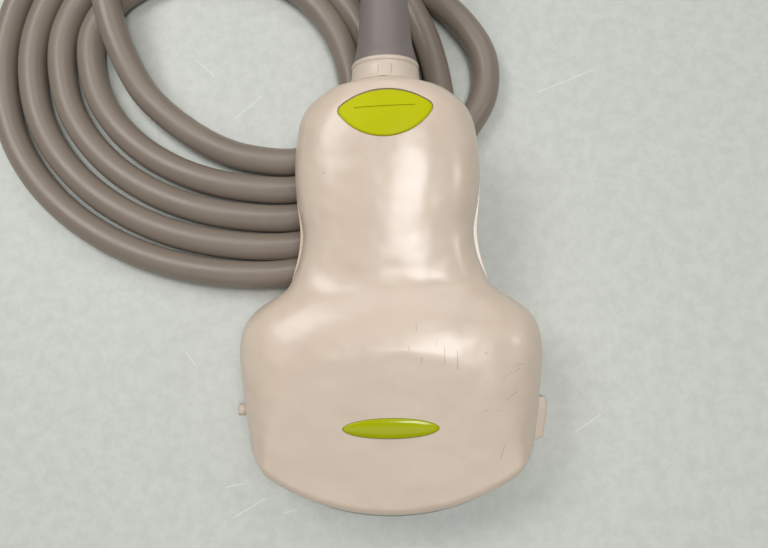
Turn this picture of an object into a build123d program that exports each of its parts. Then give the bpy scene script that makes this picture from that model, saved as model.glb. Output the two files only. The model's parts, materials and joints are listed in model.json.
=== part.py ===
from build123d import *
from math import atan, cos, degrees, pi, radians, sin, sqrt, tan
import os

# A convex ultrasound probe for scans through the belly, lying face up on a table, with its
# cord wound in a loose coil under the grip and its plug for the scanner at the far end.
# Lengths are in millimetres. The probe is drawn in its own axes first: x runs across the
# face, y from the tip of the lens towards the cord, and z out of the front face. It is
# then tilted, so that the flat rear side of its nose lies on the table.

# Driving sizes of the housing
head_width = 72.6
grip_width = 45.0
neck_width = 17.6
head_thickness = 31.2
saddle_thickness = 21.0
grip_thickness = 24.0
head_length = 53.6
grip_length = 48.9
wall = 2.2
waist_step = 0.8
facet_taper_share = 0.165
nose_thickness = 17.4
nose_edge_radius = 2.4

# Driving sizes of the curved array in the nose
lens_radius = 50.0
lens_margin = 7.0
lens_height = 15.0
lens_edge_radius = 2.4
lens_seal_depth = 0.8
lens_stand_out = 3.4
cheek_set_back = 0.7
array_height = 12.0
matching_depth = 0.6
piezo_depth = 0.7
backing_depth = 8.0

# Clearances
fit_gap = 0.1
skin_gap = 0.25
running_gap = 0.05
seat_gap = 0.3
overrun = 5.0

# Seam between the two shells
tongue_height = 1.0
tongue_inset = 1.2
gasket_height = 0.5

# Badges, peg and rib
plate_depth = 0.8
plate_sink = 0.1
badge_width = 22.7
badge_rise = 4.0
badge_drop = 6.9
badge_set_back = 7.7
badge_tip_radius = 0.9
oval_width = 21.6
oval_height = 4.7
oval_y = 21.9
oval_stand = 0.45
peg_diameter = 3.0
peg_root_diameter = 2.0
peg_length = 0.8
peg_sink = 1.1
peg_root = 3.4
peg_place_share = 0.455
rib_length = 9.8
rib_stand = 1.3
rib_thickness = 3.2
rib_place_share = 0.312

# Works inside the probe
spine_thickness = 3.0
spine_width = 24.0
spine_reach = 6.0
chassis_depth = 3.0
board_width = 40.0
board_gap = 2.1
board_set_back = 4.0
board_thickness = 1.2
standoff_height = 2.0
standoff_diameter = 4.0
screw_diameter = 2.0
screw_head_diameter = 3.8
screw_head_height = 1.3
flex_thickness = 0.25
header_length = 4.0
chip_size = 8.0
chip_height = 1.0
shield_thickness = 0.4
shield_height = 15.6
shield_width = 46.0
shield_lip = 2.6
boss_diameter = 5.4
clamp_width = 25.0
clamp_length = 9.0
clamp_height = 10.4
clamp_set_back = 18.2
ferrule_diameter = 9.4
ferrule_length = 5.0
bundle_diameter = 2.4

# Shares that set small features from the sizes above
slot_length_share = 0.6
slot_width_share = 0.3
slot_depth_share = 0.8
oval_round_share = 0.9
rib_slope_share = 0.9
rib_top_share = 0.3
rib_back_share = 0.2
header_width_share = 0.6
chip_step_share = 0.8
screw_bite_share = 1.5
collar_groove_share = 0.72
tab_corner_share = 0.2
boot_flare_share = 0.35
boot_taper_share = 0.06
corner_share = 0.45
key_corner_share = 0.2

# Neck, strain relief and cord
collar_diameter = 17.0
collar_length = 5.4
collar_groove = 0.5
collar_tab_length = 2.8
collar_tab_width = 3.0
collar_tab_rise = 0.8
neck_bore = 12.0
boot_root_diameter = 15.4
boot_waist_diameter = 12.6
boot_tip_diameter = 9.8
boot_flare_length = 9.0
boot_length = 48.1
cord_diameter = 7.6
boot_seat_depth = 2.0
boot_edge_radius = 0.8
collar_edge_radius = 0.6

# The coil's innermost and outermost turns: left, bottom, right and top points (x, y)
coil_inner_turn = ((-76.6, 62.8), (-29.1, 14), (-9.1, 32.8), (-50.6, 76.8))
coil_outer_turn = ((-112.1, 45.8), (-34.1, -18.2), (27.6, 41), (-68.6, 112.8))

# The cord's route from the boot to the coil, and from the coil to the plug
cord_first_run = 18.0
cord_last_run = 12.0
cord_run_points = [
    (-7.6, 112.8, 31.5),
    (-24.6, 125.3, 23),
    (-45.6, 125.8, 15),
    (-64.6, 115.3, 12.4),
    (-76.6, 97.8, 12),
    (-80.6, 77.8, 12),
    (-79.1, 60.8, 11.5),
    (-74.1, 44.8, 8),
    (-66.6, 31.8, 5.2),
]
cord_tail_points = [
    (-60.6, 112.6, 3.8),
    (-77.6, 113.2, 3.8),
    (-93.6, 118.8, 4),
    (-104.6, 132.8, 4.4),
    (-108.1, 149.8, 6.6),
]
plug_x = -80.0
plug_y = 212.0

# Plug for the scanner, lying on its side
plug_width = 82.0
plug_depth = 50.0
plug_height = 36.0
plug_wall = 2.4
plug_corner = 4.0
plug_edge = 1.6
shroud_width = 70.0
shroud_height = 26.0
shroud_wall = 1.4
shroud_stand = 8.0
shroud_flange = 2.4
block_gap = 0.2
block_depth = 9.0
block_front = 2.6
contact_count = 20
contact_pitch = 1.25
contact_width = 0.7
contact_height = 3.2
contact_stand = 0.3
contact_row_z = 5.4
guide_post_diameter = 4.0
plug_board_thickness = 1.6
plug_board_height = 22.0
shaft_diameter = 6.0
shaft_key_length = 13.0
shaft_key_width = 3.0
bush_diameter = 9.0
bush_flange_diameter = 12.0
bush_flange = 1.2
clip_diameter = 9.6
clip_thickness = 0.8
lever_hub_diameter = 19.0
lever_depth = 7.6
lever_reach = 30.0
lever_tip_width = 10.0
lever_gap = 0.4
lever_edge = 1.2
lever_screw_head = 8.0
lever_screw_height = 1.6
plug_boot_diameter = 13.0
plug_boot_tip = 9.8
plug_boot_length = 30.0
plug_boot_x = -26.0
plug_boot_z = 10.0
plug_screw_diameter = 3.0
plug_screw_head = 5.4
plug_boss_diameter = 7.0
flange_start = plug_depth - plug_wall - fit_gap - shroud_flange
shroud_end = plug_depth + shroud_stand
block_end = shroud_end - block_front


def section(y, half_w, half_t, squareness):
    """One closed outline across the housing: a circle at squareness 0, nearly a box at 1."""
    near_share = 0.331 + 0.119 * squareness
    wide_share = 0.866 + 0.134 * squareness
    full_share = 0.631 + 0.319 * squareness
    quadrant = [
        (1, 0),
        (1, near_share),
        (wide_share, full_share),
        (full_share, wide_share),
        (near_share, 1),
        (0, 1),
    ]
    edges = []
    for sx, sz in ((1, 1), (-1, 1), (-1, -1), (1, -1)):
        points = [(sx * u * half_w, y, sz * v * half_t) for u, v in quadrant]
        if sx * sz < 0:
            points.reverse()
        edges.append(Bezier(*points))
    return Wire(edges)


# Stations of the head: share of its length, of its half width and of its half thickness,
# and the squareness of the section.
head_shares = [
    (-0.12, 0.84, 0.98, 0.68),
    (0.10, 0.885, 0.985, 0.64),
    (0.264, 0.922, 0.99, 0.60),
    (0.42, 0.955, 1.0, 0.56),
    (0.60, 0.988, 1.0, 0.52),
    (0.72, 1.0, 0.975, 0.50),
    (0.805, 0.984, 0.93, 0.50),
    (0.862, 0.945, 0.88, 0.50),
    (0.912, 0.872, 0.82, 0.50),
    (0.952, 0.783, 0.765, 0.50),
    (0.992, 0.694, 0.71, 0.50),
]
# Stations of the grip: share of its length from the head, of its half width, how far its
# half thickness has gone from the saddle's to the grip's own, squareness, and the share
# of the step that the front shell is narrower by.
grip_shares = [
    (0.055, 1.048, 0.0, 0.49, 0.4),
    (0.115, 1.008, 0.08, 0.46, 0.8),
    (0.19, 0.972, 0.25, 0.42, 1.0),
    (0.27, 0.956, 0.45, 0.38, 1.0),
    (0.38, 0.976, 0.74, 0.34, 0.5),
    (0.52, 1.0, 0.97, 0.30, 0.1),
    (0.66, 0.99, 1.0, 0.30, 0.0),
    (0.765, 0.962, 0.90, 0.28, 0.0),
]
# Stations of the shoulder: share of the grip's length, how far the width and the
# thickness have gone from the grip's to the neck's, and the squareness.
shoulder_shares = [
    (0.845, 0.14, 0.14, 0.24),
    (0.91, 0.30, 0.29, 0.18),
    (0.955, 0.50, 0.48, 0.12),
    (0.985, 0.74, 0.72, 0.06),
    (1.0, 1.0, 1.0, 0.0),
]
housing_length = head_length + grip_length
lens_chord = head_width - 2 * lens_margin
badge_y = housing_length - badge_set_back
clamp_y = housing_length - clamp_set_back
peg_y = head_length * peg_place_share
rib_y = head_length * rib_place_share
spine_end_y = head_length + spine_reach
quarter_turn = 90
tilt = atan(facet_taper_share)
lens_centre_y = lens_radius
cheek_radius = lens_radius - cheek_set_back
rim_radius = lens_radius - lens_stand_out
stack_depth = 2 * matching_depth + piezo_depth + backing_depth
plate_radius = rim_radius + lens_seal_depth - stack_depth - chassis_depth
board_y = lens_centre_y - sqrt(plate_radius**2 - (board_width / 2) ** 2) + board_gap
board_length = head_length - board_set_back - board_y


def stations(inset, step):
    """Every section of the housing, moved in by inset; step narrows the front's waist."""
    made = []
    for along, wide, thick, square in head_shares:
        half_w = wide * head_width / 2
        half_t = thick * head_thickness / 2
        made.append((along * head_length, half_w - inset, half_t - inset, square))
    for along, wide, gone, square, stepped in grip_shares:
        half_w = wide * grip_width / 2 - stepped * step
        half_t = (saddle_thickness + gone * (grip_thickness - saddle_thickness)) / 2
        y = head_length + along * grip_length
        made.append((y, half_w - inset, half_t - inset, square))
    for along, across, gone, square in shoulder_shares:
        half_w = (grip_width + across * (neck_width - grip_width)) / 2
        half_t = (grip_thickness + gone * (neck_width - grip_thickness)) / 2
        y = head_length + along * grip_length
        made.append((y, half_w - inset, half_t - inset, square))
    return made


def prism_x(points, width):
    """A prism along x of an outline given as (y, z) pairs."""
    face = Plane.YZ.offset(-width / 2) * make_face(Polyline(*points, close=True))
    return extrude(face, width, dir=(1, 0, 0))


def tall(shape_2d, half_height):
    """A prism of a flat outline, from -half_height to half_height in z."""
    return Pos(0, 0, -half_height) * extrude(shape_2d, 2 * half_height)


def on_nose(point, radius):
    """Whether a point lies on the nose's cylinder of that radius."""
    away = sqrt(point.X**2 + (point.Y - lens_centre_y) ** 2)
    return abs(away - radius) < running_gap


def housing(inset, step=0.0):
    """The housing's outer form, moved in by inset on every side."""
    body = Solid.make_loft([section(*s) for s in stations(inset, step)])
    far = housing_length + overrun
    near_t = nose_thickness / 2 - inset / cos(tilt) - overrun * facet_taper_share
    far_t = nose_thickness / 2 - inset / cos(tilt) + far * facet_taper_share
    wedge = prism_x(
        [(-overrun, -near_t), (far, -far_t), (far, far_t), (-overrun, near_t)],
        2 * head_width,
    )
    nose = Pos(0, lens_centre_y, 0) * Cylinder(cheek_radius - inset, 2 * head_width)
    rest = Pos(0, lens_centre_y + far / 2, 0) * Box(2 * head_width, far, 2 * head_width)
    shape = body & wedge & (nose + rest)
    edge_radius = nose_edge_radius - inset
    if edge_radius < wall / 2:
        return shape
    rim = [e for e in shape.edges() if on_nose(e.center(), cheek_radius - inset)]
    return shape.fillet(edge_radius, rim)


def ring_slab(inner, outer, half_chord, half_height):
    """An arc-shaped slab about the array's centre, cut off at half_chord each side."""
    band = Pos(0, -outer / 2) * Rectangle(2 * half_chord, outer)
    face = (Circle(outer) - Circle(inner)) & band
    return Pos(0, lens_centre_y, 0) * tall(face, half_height)


def above(shape, z=0.0):
    size = 4 * housing_length
    return shape & (Pos(0, 0, z + size / 2) * Box(size, size, size))


def below(shape, z=0.0):
    size = 4 * housing_length
    return shape & (Pos(0, 0, z - size / 2) * Box(size, size, size))


def between(shape, low, high):
    size = 4 * housing_length
    middle = (low + high) / 2
    return shape & (Pos(0, 0, middle) * Box(size, size, high - low))


parts = {}
plug = {}


def rod(diameter, start, end):
    """A round bar along y."""
    length = end - start
    return Pos(0, (start + end) / 2, 0) * Rot(90, 0, 0) * Cylinder(diameter / 2, length)


def post(diameter, x, y, low, high):
    """A round bar along z."""
    return Pos(x, y, (low + high) / 2) * Cylinder(diameter / 2, high - low)


def block(width, length, low, high, y):
    """A box centred on x, from y on, between two heights."""
    return Pos(0, y + length / 2, (low + high) / 2) * Box(width, length, high - low)


def screw(x, y, head_low, depth):
    """A pan-head screw whose head sits at head_low and whose shank goes down by depth."""
    head = post(screw_head_diameter, x, y, 0, screw_head_height)
    shank = post(screw_diameter, x, y, -depth, 0)
    cross = Pos(x, y, screw_head_height) * Box(
        screw_head_diameter * slot_length_share,
        screw_diameter * slot_width_share,
        screw_head_height * slot_depth_share,
    )
    return Pos(0, 0, head_low) * (head + shank - cross)


# The forms that the shells, the seam and the badges are cut from
outer_rear = housing(0.0)
outer_front = housing(0.0, waist_step)
cavity_end = housing_length - 2 * wall
cavity = housing(wall, waist_step) & block(
    2 * head_width, 2 * cavity_end, -head_width, head_width, -cavity_end
)
tongue_form = housing(tongue_inset, waist_step)
groove_form = housing(tongue_inset - fit_gap, waist_step)
badge_form = housing(plate_depth, waist_step)
badge_top_form = housing(plate_sink, waist_step)
lens_window = ring_slab(
    rim_radius, lens_radius + overrun, lens_chord / 2 + fit_gap, lens_height / 2 + fit_gap
)
neck_hole = rod(neck_bore, cavity_end - overrun, housing_length + overrun)
groove_depth = tongue_height + gasket_height


def badge_outline(grow=0.0):
    """The name badge's pointed shape: a flat arc above and a deep arc below."""
    half = badge_width / 2 + grow
    top = ThreePointArc((-half, 0), (0, badge_rise + grow), (half, 0))
    low = ThreePointArc((half, 0), (0, -badge_drop - grow), (-half, 0))
    face = make_face([top, low])
    return fillet(face.vertices(), badge_tip_radius + grow)


def make_badges():
    place = Pos(0, badge_y, 0)
    plate = above((place * extrude(badge_outline(), head_thickness)) & badge_top_form)
    plate = plate - badge_form
    pocket = above(place * extrude(badge_outline(skin_gap), head_thickness))
    pocket = pocket - badge_form
    parts["name_plate"] = plate
    face_z = nose_thickness / 2 + oval_y * facet_taper_share
    lay = Pos(0, oval_y, face_z) * Rot(degrees(tilt), 0, 0)
    half_w, half_h = oval_width / 2, oval_height / 2
    oval = extrude(Ellipse(half_w, half_h), plate_depth + oval_stand)
    oval = fillet(oval.edges().sort_by(Axis.Z)[-1], oval_stand * oval_round_share)
    parts["marker_plate"] = lay * Pos(0, 0, -plate_depth) * oval
    hole = extrude(Ellipse(half_w + fit_gap, half_h + fit_gap), 2 * plate_depth)
    return pocket, lay * Pos(0, 0, -plate_depth) * hole


def guide_rib():
    """The small fin on the right edge of the head, low at the nose end."""
    root = head_width / 2 - 2 * wall
    tip = head_width / 2 + rib_stand
    low, high = rib_y, rib_y + rib_length
    outline = Polyline(
        (root, low - rib_stand),
        (tip - rib_stand * rib_slope_share, low),
        (tip, high - rib_length * rib_top_share),
        (tip - rib_stand * rib_back_share, high),
        (root, high),
        close=True,
    )
    return Pos(0, 0, -rib_thickness) * extrude(make_face(outline), rib_thickness)


def peg_hole(grow):
    length = 2 * (peg_root + wall)
    start = Pos(-head_width / 2, peg_y, 0)
    return start * Rot(0, 90, 0) * Cylinder(peg_root_diameter / 2 + grow, length)


def boss(x, y, top):
    """A screw boss that rises from the rear shell's inner wall, with its pilot hole."""
    column = post(boss_diameter, x, y, -head_thickness, top) & tongue_form
    pilot = screw_diameter + 2 * running_gap
    return column, post(pilot, x, y, top - 2 * screw_diameter, overrun)


clamp_screw_x = clamp_width / 2 - screw_head_diameter / 2 - fit_gap
chassis_screw_x = spine_width / 2 - screw_head_diameter / 2 - fit_gap
chassis_screw_y = spine_end_y - screw_head_diameter / 2 - fit_gap


def make_shells():
    pocket, oval_hole = make_badges()
    front = above(outer_front) - cavity - between(groove_form, 0, groove_depth)
    front = front - lens_window - neck_hole - pocket - oval_hole - peg_hole(fit_gap)
    rear = below(outer_rear) + between(tongue_form, 0, tongue_height)
    rear = rear - cavity - lens_window - neck_hole
    for x in (-clamp_screw_x, clamp_screw_x):
        column, pilot = boss(x, clamp_y + clamp_length / 2, -clamp_height / 2)
        rear = rear + column - pilot
    for x in (-chassis_screw_x, chassis_screw_x):
        column, pilot = boss(x, chassis_screw_y, -spine_thickness / 2)
        rear = rear + column - pilot
    rear = rear + (guide_rib() - cavity) - peg_hole(fit_gap)
    parts["front_shell"] = front
    parts["rear_shell"] = rear
    gasket = between(tongue_form, tongue_height, groove_depth)
    parts["seam_gasket"] = gasket - cavity - lens_window - neck_hole - peg_hole(seat_gap)
    half_w = head_width / 2
    peg = rod(peg_diameter, half_w - peg_sink, half_w + peg_length)
    peg = peg + rod(peg_root_diameter, half_w - peg_root, half_w)
    parts["guide_peg"] = Pos(0, peg_y, 0) * Rot(0, 0, quarter_turn) * peg


def make_lens():
    inner = rim_radius + lens_seal_depth
    lens = ring_slab(inner, lens_radius, lens_chord / 2, lens_height / 2)
    rim = lens.edges().filter_by(GeomType.CIRCLE)
    rim = rim.filter_by(lambda e: e.radius > (inner + lens_radius) / 2)
    parts["acoustic_lens"] = fillet(rim, lens_edge_radius)
    half_chord = lens_chord / 2 - wall
    seal = ring_slab(rim_radius, inner, lens_chord / 2, lens_height / 2)
    window = ring_slab(rim_radius, inner, half_chord + fit_gap, array_height / 2 + fit_gap)
    parts["lens_seal"] = seal - window
    layers = [
        ("matching_layer_outer", matching_depth),
        ("matching_layer_inner", matching_depth),
        ("piezo_array", piezo_depth),
        ("backing_block", backing_depth),
    ]
    outer = inner
    for name, depth in layers:
        parts[name] = ring_slab(outer - depth, outer, half_chord, array_height / 2)
        outer -= depth
    return outer


def make_chassis(back_radius):
    """The cast frame: an arc plate that holds the array, and a spine for the boards."""
    half_chord = lens_chord / 2 - 2 * wall
    plate_inner = back_radius - chassis_depth
    plate = ring_slab(plate_inner, back_radius, half_chord, array_height / 2)
    spine_start = lens_centre_y - back_radius
    half_t = spine_thickness / 2
    spine = block(spine_width, spine_end_y - spine_start, -half_t, half_t, spine_start)
    wide = block(board_width, board_length, -half_t, half_t, board_y)
    behind = ring_slab(back_radius - chassis_depth / 2, lens_radius, spine_width, array_height)
    chassis = plate + (spine - behind) + wide
    for x in (-chassis_screw_x, chassis_screw_x):
        hole = post(screw_diameter + 2 * fit_gap, x, chassis_screw_y, -overrun, overrun)
        chassis = chassis - hole
    window = block(
        spine_width / 2, board_length / 2, -overrun, overrun, board_y + board_length / 4
    )
    parts["array_chassis"] = chassis - window
    screws = [
        screw(x, chassis_screw_y, half_t, 2 * screw_diameter)
        for x in (-chassis_screw_x, chassis_screw_x)
    ]
    parts["chassis_screws"] = Compound(screws)


def make_boards(back_radius):
    low = spine_thickness / 2 + standoff_height
    high = low + board_thickness
    in_x = board_width / 2 - standoff_diameter / 2 - fit_gap
    in_y = standoff_diameter / 2 + fit_gap
    corners = [
        (x, y)
        for x in (-in_x, in_x)
        for y in (board_y + in_y, board_y + board_length - in_y)
    ]
    standoffs, screws, headers, chips = [], [], [], []
    header_y = board_y + 2 * in_y
    flex_z = array_height / 2
    for name, side in (("front", 1), ("rear", -1)):
        turn = Rot(0, 0, 0) if side > 0 else Rot(0, 180, 0)
        board = block(board_width, board_length, low, high, board_y)
        for x, y in corners:
            board = board - post(screw_diameter + 2 * fit_gap, x, y, low, high)
            collar = post(standoff_diameter, x, y, spine_thickness / 2, low)
            collar = collar - post(screw_diameter, x, y, 0, low)
            standoffs.append(turn * collar)
            screws.append(turn * screw(x, y, high, board_thickness + standoff_height))
        parts["board_" + name] = turn * board
        header = block(board_width * header_width_share, header_length, high, flex_z, header_y)
        headers.append(turn * header)
        for x in (-chip_size * chip_step_share, chip_size * chip_step_share):
            board_end = board_y + board_length
            y = (header_y + header_length + board_end - chip_size) / 2
            chip = Pos(x, 0, 0) * block(chip_size, chip_size, high, high + chip_height, y)
            chips.append(turn * chip)
        outer = back_radius + backing_depth
        fan = ring_slab(back_radius, outer, lens_chord / 2 - wall, flex_thickness / 2)
        run_start = lens_centre_y - back_radius - chassis_depth
        run_end = header_y + header_length - run_start
        half_t = flex_thickness / 2
        tail = block(board_width * header_width_share, run_end, -half_t, half_t, run_start)
        sheet = Pos(0, 0, flex_z + half_t) * (fan + tail)
        parts["flex_circuit_" + name] = turn * sheet
        top, length = shield_height / 2, board_length - standoff_diameter
        start = board_y + standoff_diameter
        shield = block(shield_width, length, shield_lip, top, start)
        room = shield_width - 2 * shield_thickness
        shield = shield - block(room, length, 0, top - shield_thickness, start)
        parts["shield_" + name] = turn * shield
    parts["board_standoffs"] = Compound(standoffs)
    parts["board_screws"] = Compound(screws)
    parts["board_headers"] = Compound(headers)
    parts["board_chips"] = Compound(chips)
    return header_y + header_length


def make_cable_end():
    """The clamp, the crimped ferrule and the end of the cable inside the probe."""
    half_h = clamp_height / 2
    tip = housing_length + collar_length - boot_seat_depth + boot_length
    core = rod(cord_diameter, clamp_y - ferrule_length / 2, tip)
    parts["cable_entry"] = core
    grip = rod(cord_diameter + fit_gap, 0, housing_length)
    upper = block(clamp_width, clamp_length, fit_gap, half_h, clamp_y) - grip
    lower = block(clamp_width, clamp_length, -half_h, -fit_gap, clamp_y) - grip
    screws = []
    for x in (-clamp_screw_x, clamp_screw_x):
        y = clamp_y + clamp_length / 2
        hole = post(screw_diameter + 2 * fit_gap, x, y, -half_h, half_h)
        sink = post(screw_head_diameter + 2 * fit_gap, x, y, fit_gap + standoff_height, half_h)
        upper = upper - hole - sink
        lower = lower - hole
        depth = half_h + standoff_height + fit_gap + screw_bite_share * screw_diameter
        screws.append(screw(x, y, fit_gap + standoff_height, depth))
    parts["cable_clamp_upper"] = upper
    parts["cable_clamp_lower"] = lower
    parts["clamp_screws"] = Compound(screws)
    ferrule_end = clamp_y - fit_gap
    ferrule = rod(ferrule_diameter, ferrule_end - ferrule_length, ferrule_end)
    parts["crimp_ferrule"] = ferrule - rod(cord_diameter, 0, housing_length)
    starts = ferrule_end - ferrule_length / 2
    board_top = spine_thickness / 2 + standoff_height + board_thickness
    end_z = board_top + bundle_diameter / 2 + running_gap
    end_y = board_y + board_length - standoff_diameter
    near = bundle_diameter / 2 + seat_gap / 2
    for name, side in (("front", 1), ("rear", -1)):
        line = Spline(
            (0, starts, side * near),
            (0, (starts + end_y) / 2 + overrun, side * (near + end_z) / 2),
            (0, end_y, side * end_z),
            tangents=[(0, -1, 0), (0, -1, 0)],
        )
        profile = Plane(line @ 0, z_dir=line % 0) * Circle(bundle_diameter / 2)
        parts["wire_bundle_" + name] = sweep(profile, line)


def make_neck():
    start = housing_length
    end = start + collar_length
    collar = rod(collar_diameter, start, end)
    collar = fillet(collar.edges().sort_by(Axis.Y)[-1], collar_edge_radius)
    groove = rod(collar_diameter + overrun, 0, collar_groove)
    groove = groove - rod(collar_diameter - 2 * collar_groove, 0, collar_groove)
    collar = collar - Pos(0, start + collar_groove_share * collar_length, 0) * groove
    tab_top = collar_diameter / 2 + collar_tab_rise
    tab = block(collar_tab_width, collar_tab_length, 0, tab_top, start)
    tab = fillet(tab.edges().filter_by(Axis.Z), collar_tab_width * tab_corner_share)
    collar = collar + tab
    seat = end - boot_seat_depth
    collar = collar - rod(neck_bore, start, end)
    collar = collar - rod(boot_root_diameter + 2 * fit_gap, seat, end)
    parts["neck_collar"] = collar
    flare = seat + boot_seat_depth + boot_flare_length
    tip = seat + boot_length
    root_r, waist_r = boot_root_diameter / 2, boot_waist_diameter / 2
    tip_r, bore_r = boot_tip_diameter / 2, cord_diameter / 2 + running_gap
    shoulder = seat + boot_seat_depth + boot_edge_radius
    curve = Spline(
        (root_r, shoulder),
        (waist_r, flare),
        (tip_r, tip),
        tangents=[(-boot_flare_share, 1), (-boot_taper_share, 1)],
    )
    outline = [
        Line((bore_r, seat), (root_r, seat)),
        Line((root_r, seat), (root_r, shoulder)),
        curve,
        Line((tip_r, tip), (bore_r, tip)),
        Line((bore_r, tip), (bore_r, seat)),
    ]
    boot = revolve(make_face(outline), Axis.Y)
    parts["strain_relief"] = fillet(
        boot.edges().filter_by(GeomType.CIRCLE).sort_by(Axis.Y)[-1], boot_edge_radius
    )


def quarter_arcs(left, bottom, right, top, grow):
    """A closed oval through four outermost points, as four quarter ellipses."""
    centres = [
        (right[0] + grow, top[1] + grow, top[0], right[1], 0),
        (left[0] - grow, top[1] + grow, top[0], left[1], 1),
        (left[0] - grow, bottom[1] - grow, bottom[0], left[1], 2),
        (right[0] + grow, bottom[1] - grow, bottom[0], right[1], 3),
    ]
    arcs = []
    for x, y, cx, cy, quarter in centres:
        start = quarter * quarter_turn
        arc = EllipticalCenterArc(
            (cx, cy), abs(x - cx), abs(y - cy), start, arc_size=quarter_turn
        )
        arcs.append(arc)
    return make_face(arcs)


def tube(points, name):
    """A round tube of straight runs and arcs, each as large as its two runs allow."""
    corners = [Vector(*p) for p in points]
    radii = []
    for before, here, after in zip(corners, corners[1:], corners[2:]):
        one, two = here - before, after - here
        half_turn = radians(one.get_angle(two)) / 2
        radii.append(corner_share * min(one.length, two.length) / tan(half_turn))
    path = FilletPolyline(*corners, radius=radii)
    profile = Plane(path @ 0, z_dir=path % 0) * Circle(cord_diameter / 2)
    made = sweep(profile, path)
    share = made.volume / (pi * cord_diameter**2 / 4 * path.length)
    print(name, "radii", [round(r) for r in radii], "length", round(path.length), end=" ")
    print("volume share", round(share, 4))
    return made


def make_cord(boot_tip, boot_axis):
    """The cord's lead from the boot, its coil, and its tail to the plug."""
    lead = [boot_tip, boot_tip + boot_axis * cord_first_run]
    parts["cord_run"] = tube(lead + cord_run_points, "cord_run")
    end = Vector(plug_x + plug_boot_x, plug_y - plug_boot_length, plug_boot_z)
    tail = cord_tail_points + [end - Vector(0, cord_last_run, 0), end]
    parts["cord_tail"] = tube(tail, "cord_tail")
    half = cord_diameter / 2
    outside = quarter_arcs(*coil_outer_turn, half)
    inside = quarter_arcs(*coil_inner_turn, -half)
    parts["cord_coil"] = extrude(outside - inside, cord_diameter)


def plug_box(grow):
    """The plug's case, moved out by grow; its back wall is at y 0 and its base at z 0."""
    size = (plug_width + 2 * grow, plug_depth + 2 * grow, plug_height + 2 * grow)
    case = Pos(0, plug_depth / 2, plug_height / 2) * Box(*size)
    return fillet(case.edges().filter_by(Axis.Z), plug_corner + grow)


def plug_bar(diameter, start, end, x=0.0, z=plug_height / 2):
    """A round bar along the plug's y, on the lock's axis unless another is given."""
    return Pos(x, 0, z) * rod(diameter, start, end)


def plug_block(width, height, start, end):
    """A box on the lock's axis, between two stations along y."""
    middle = Pos(0, (start + end) / 2, plug_height / 2)
    return middle * Box(width, end - start, height)


def make_plug_case():
    """The plug's two case halves and the four screws that join them."""
    middle = plug_height / 2
    case = plug_box(0.0)
    case = fillet(case.edges().group_by(Axis.Z)[0], plug_edge)
    case = fillet(case.edges().group_by(Axis.Z)[-1], plug_edge)
    mouth_w, mouth_h = shroud_width + 2 * fit_gap, shroud_height + 2 * fit_gap
    case = case - plug_box(-plug_wall)
    case = case - plug_block(mouth_w, mouth_h, plug_depth - 2 * plug_wall, 2 * plug_depth)
    case = case - plug_bar(bush_diameter, -overrun, 2 * plug_wall)
    cable = cord_diameter + 2 * running_gap
    case = case - plug_bar(cable, -overrun, 2 * plug_wall, plug_boot_x, plug_boot_z)
    lower, upper = below(case, middle), above(case, middle)
    in_x = plug_width / 2 - plug_boss_diameter / 2 - plug_wall / 2
    near = plug_boss_diameter / 2 + plug_wall / 2
    rows = (near, flange_start - fit_gap - plug_boss_diameter / 2)
    head_low = plug_height - plug_wall
    bore = plug_screw_diameter + 2 * running_gap
    screws = []
    for x in (-in_x, in_x):
        for y in rows:
            lower = lower + post(plug_boss_diameter, x, y, plug_wall / 2, middle)
            upper = upper + post(plug_boss_diameter, x, y, middle, head_low + plug_wall / 2)
            lower = lower - post(bore, x, y, plug_wall, middle)
            upper = upper - post(bore, x, y, middle, head_low)
            upper = upper - post(plug_screw_head + 2 * fit_gap, x, y, head_low, plug_height)
            made = post(plug_screw_head, x, y, head_low, plug_height - fit_gap)
            made = made + post(plug_screw_diameter, x, y, middle / 2, head_low)
            slot = Pos(x, y, plug_height) * Box(
                plug_screw_head * slot_length_share,
                plug_screw_diameter * slot_width_share,
                plug_wall,
            )
            screws.append(made - slot)
    plug["plug_case_lower"] = lower
    plug["plug_case_upper"] = upper
    plug["plug_screws"] = Compound(screws)


def make_plug_front():
    """The metal shroud, the block of contacts in it and the board behind them."""
    shell = plug_block(shroud_width, shroud_height, flange_start, shroud_end)
    shell = fillet(shell.edges().filter_by(Axis.Y), plug_edge)
    flange = plug_block(
        shroud_width + shroud_flange,
        shroud_height + shroud_flange,
        flange_start,
        flange_start + shroud_flange,
    )
    inner_w, inner_h = shroud_width - 2 * shroud_wall, shroud_height - 2 * shroud_wall
    plug["plug_shroud"] = shell + flange - plug_block(inner_w, inner_h, 0, 2 * plug_depth)
    block_w, block_h = inner_w - 2 * block_gap, inner_h - 2 * block_gap
    block_start = block_end - block_depth
    body = plug_block(block_w, block_h, block_start, block_end)
    body = fillet(body.edges().group_by(Axis.Y)[-1], shroud_wall / 2)
    plug["contact_block"] = body - plug_bar(bush_diameter, 0, 2 * plug_depth)
    contacts = []
    for side in (-1, 1):
        for row_z in (-contact_row_z, contact_row_z):
            for i in range(contact_count):
                x = side * (bush_diameter + i * contact_pitch)
                pad = plug_block(contact_width, contact_height, 0, contact_stand)
                contacts.append(Pos(x, block_end, row_z) * pad)
    plug["contacts"] = Compound(contacts)
    post_x = block_w / 2 - guide_post_diameter / 2 - shroud_wall
    pins = [
        plug_bar(guide_post_diameter, block_end, shroud_end - fit_gap, x)
        for x in (-post_x, post_x)
    ]
    plug["guide_posts"] = Compound(pins)
    board_start = block_start - plug_board_thickness
    board = plug_block(block_w - 2 * shroud_flange, plug_board_height, board_start, block_start)
    plug["plug_board"] = board - plug_bar(bush_diameter, 0, 2 * plug_depth)


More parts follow.
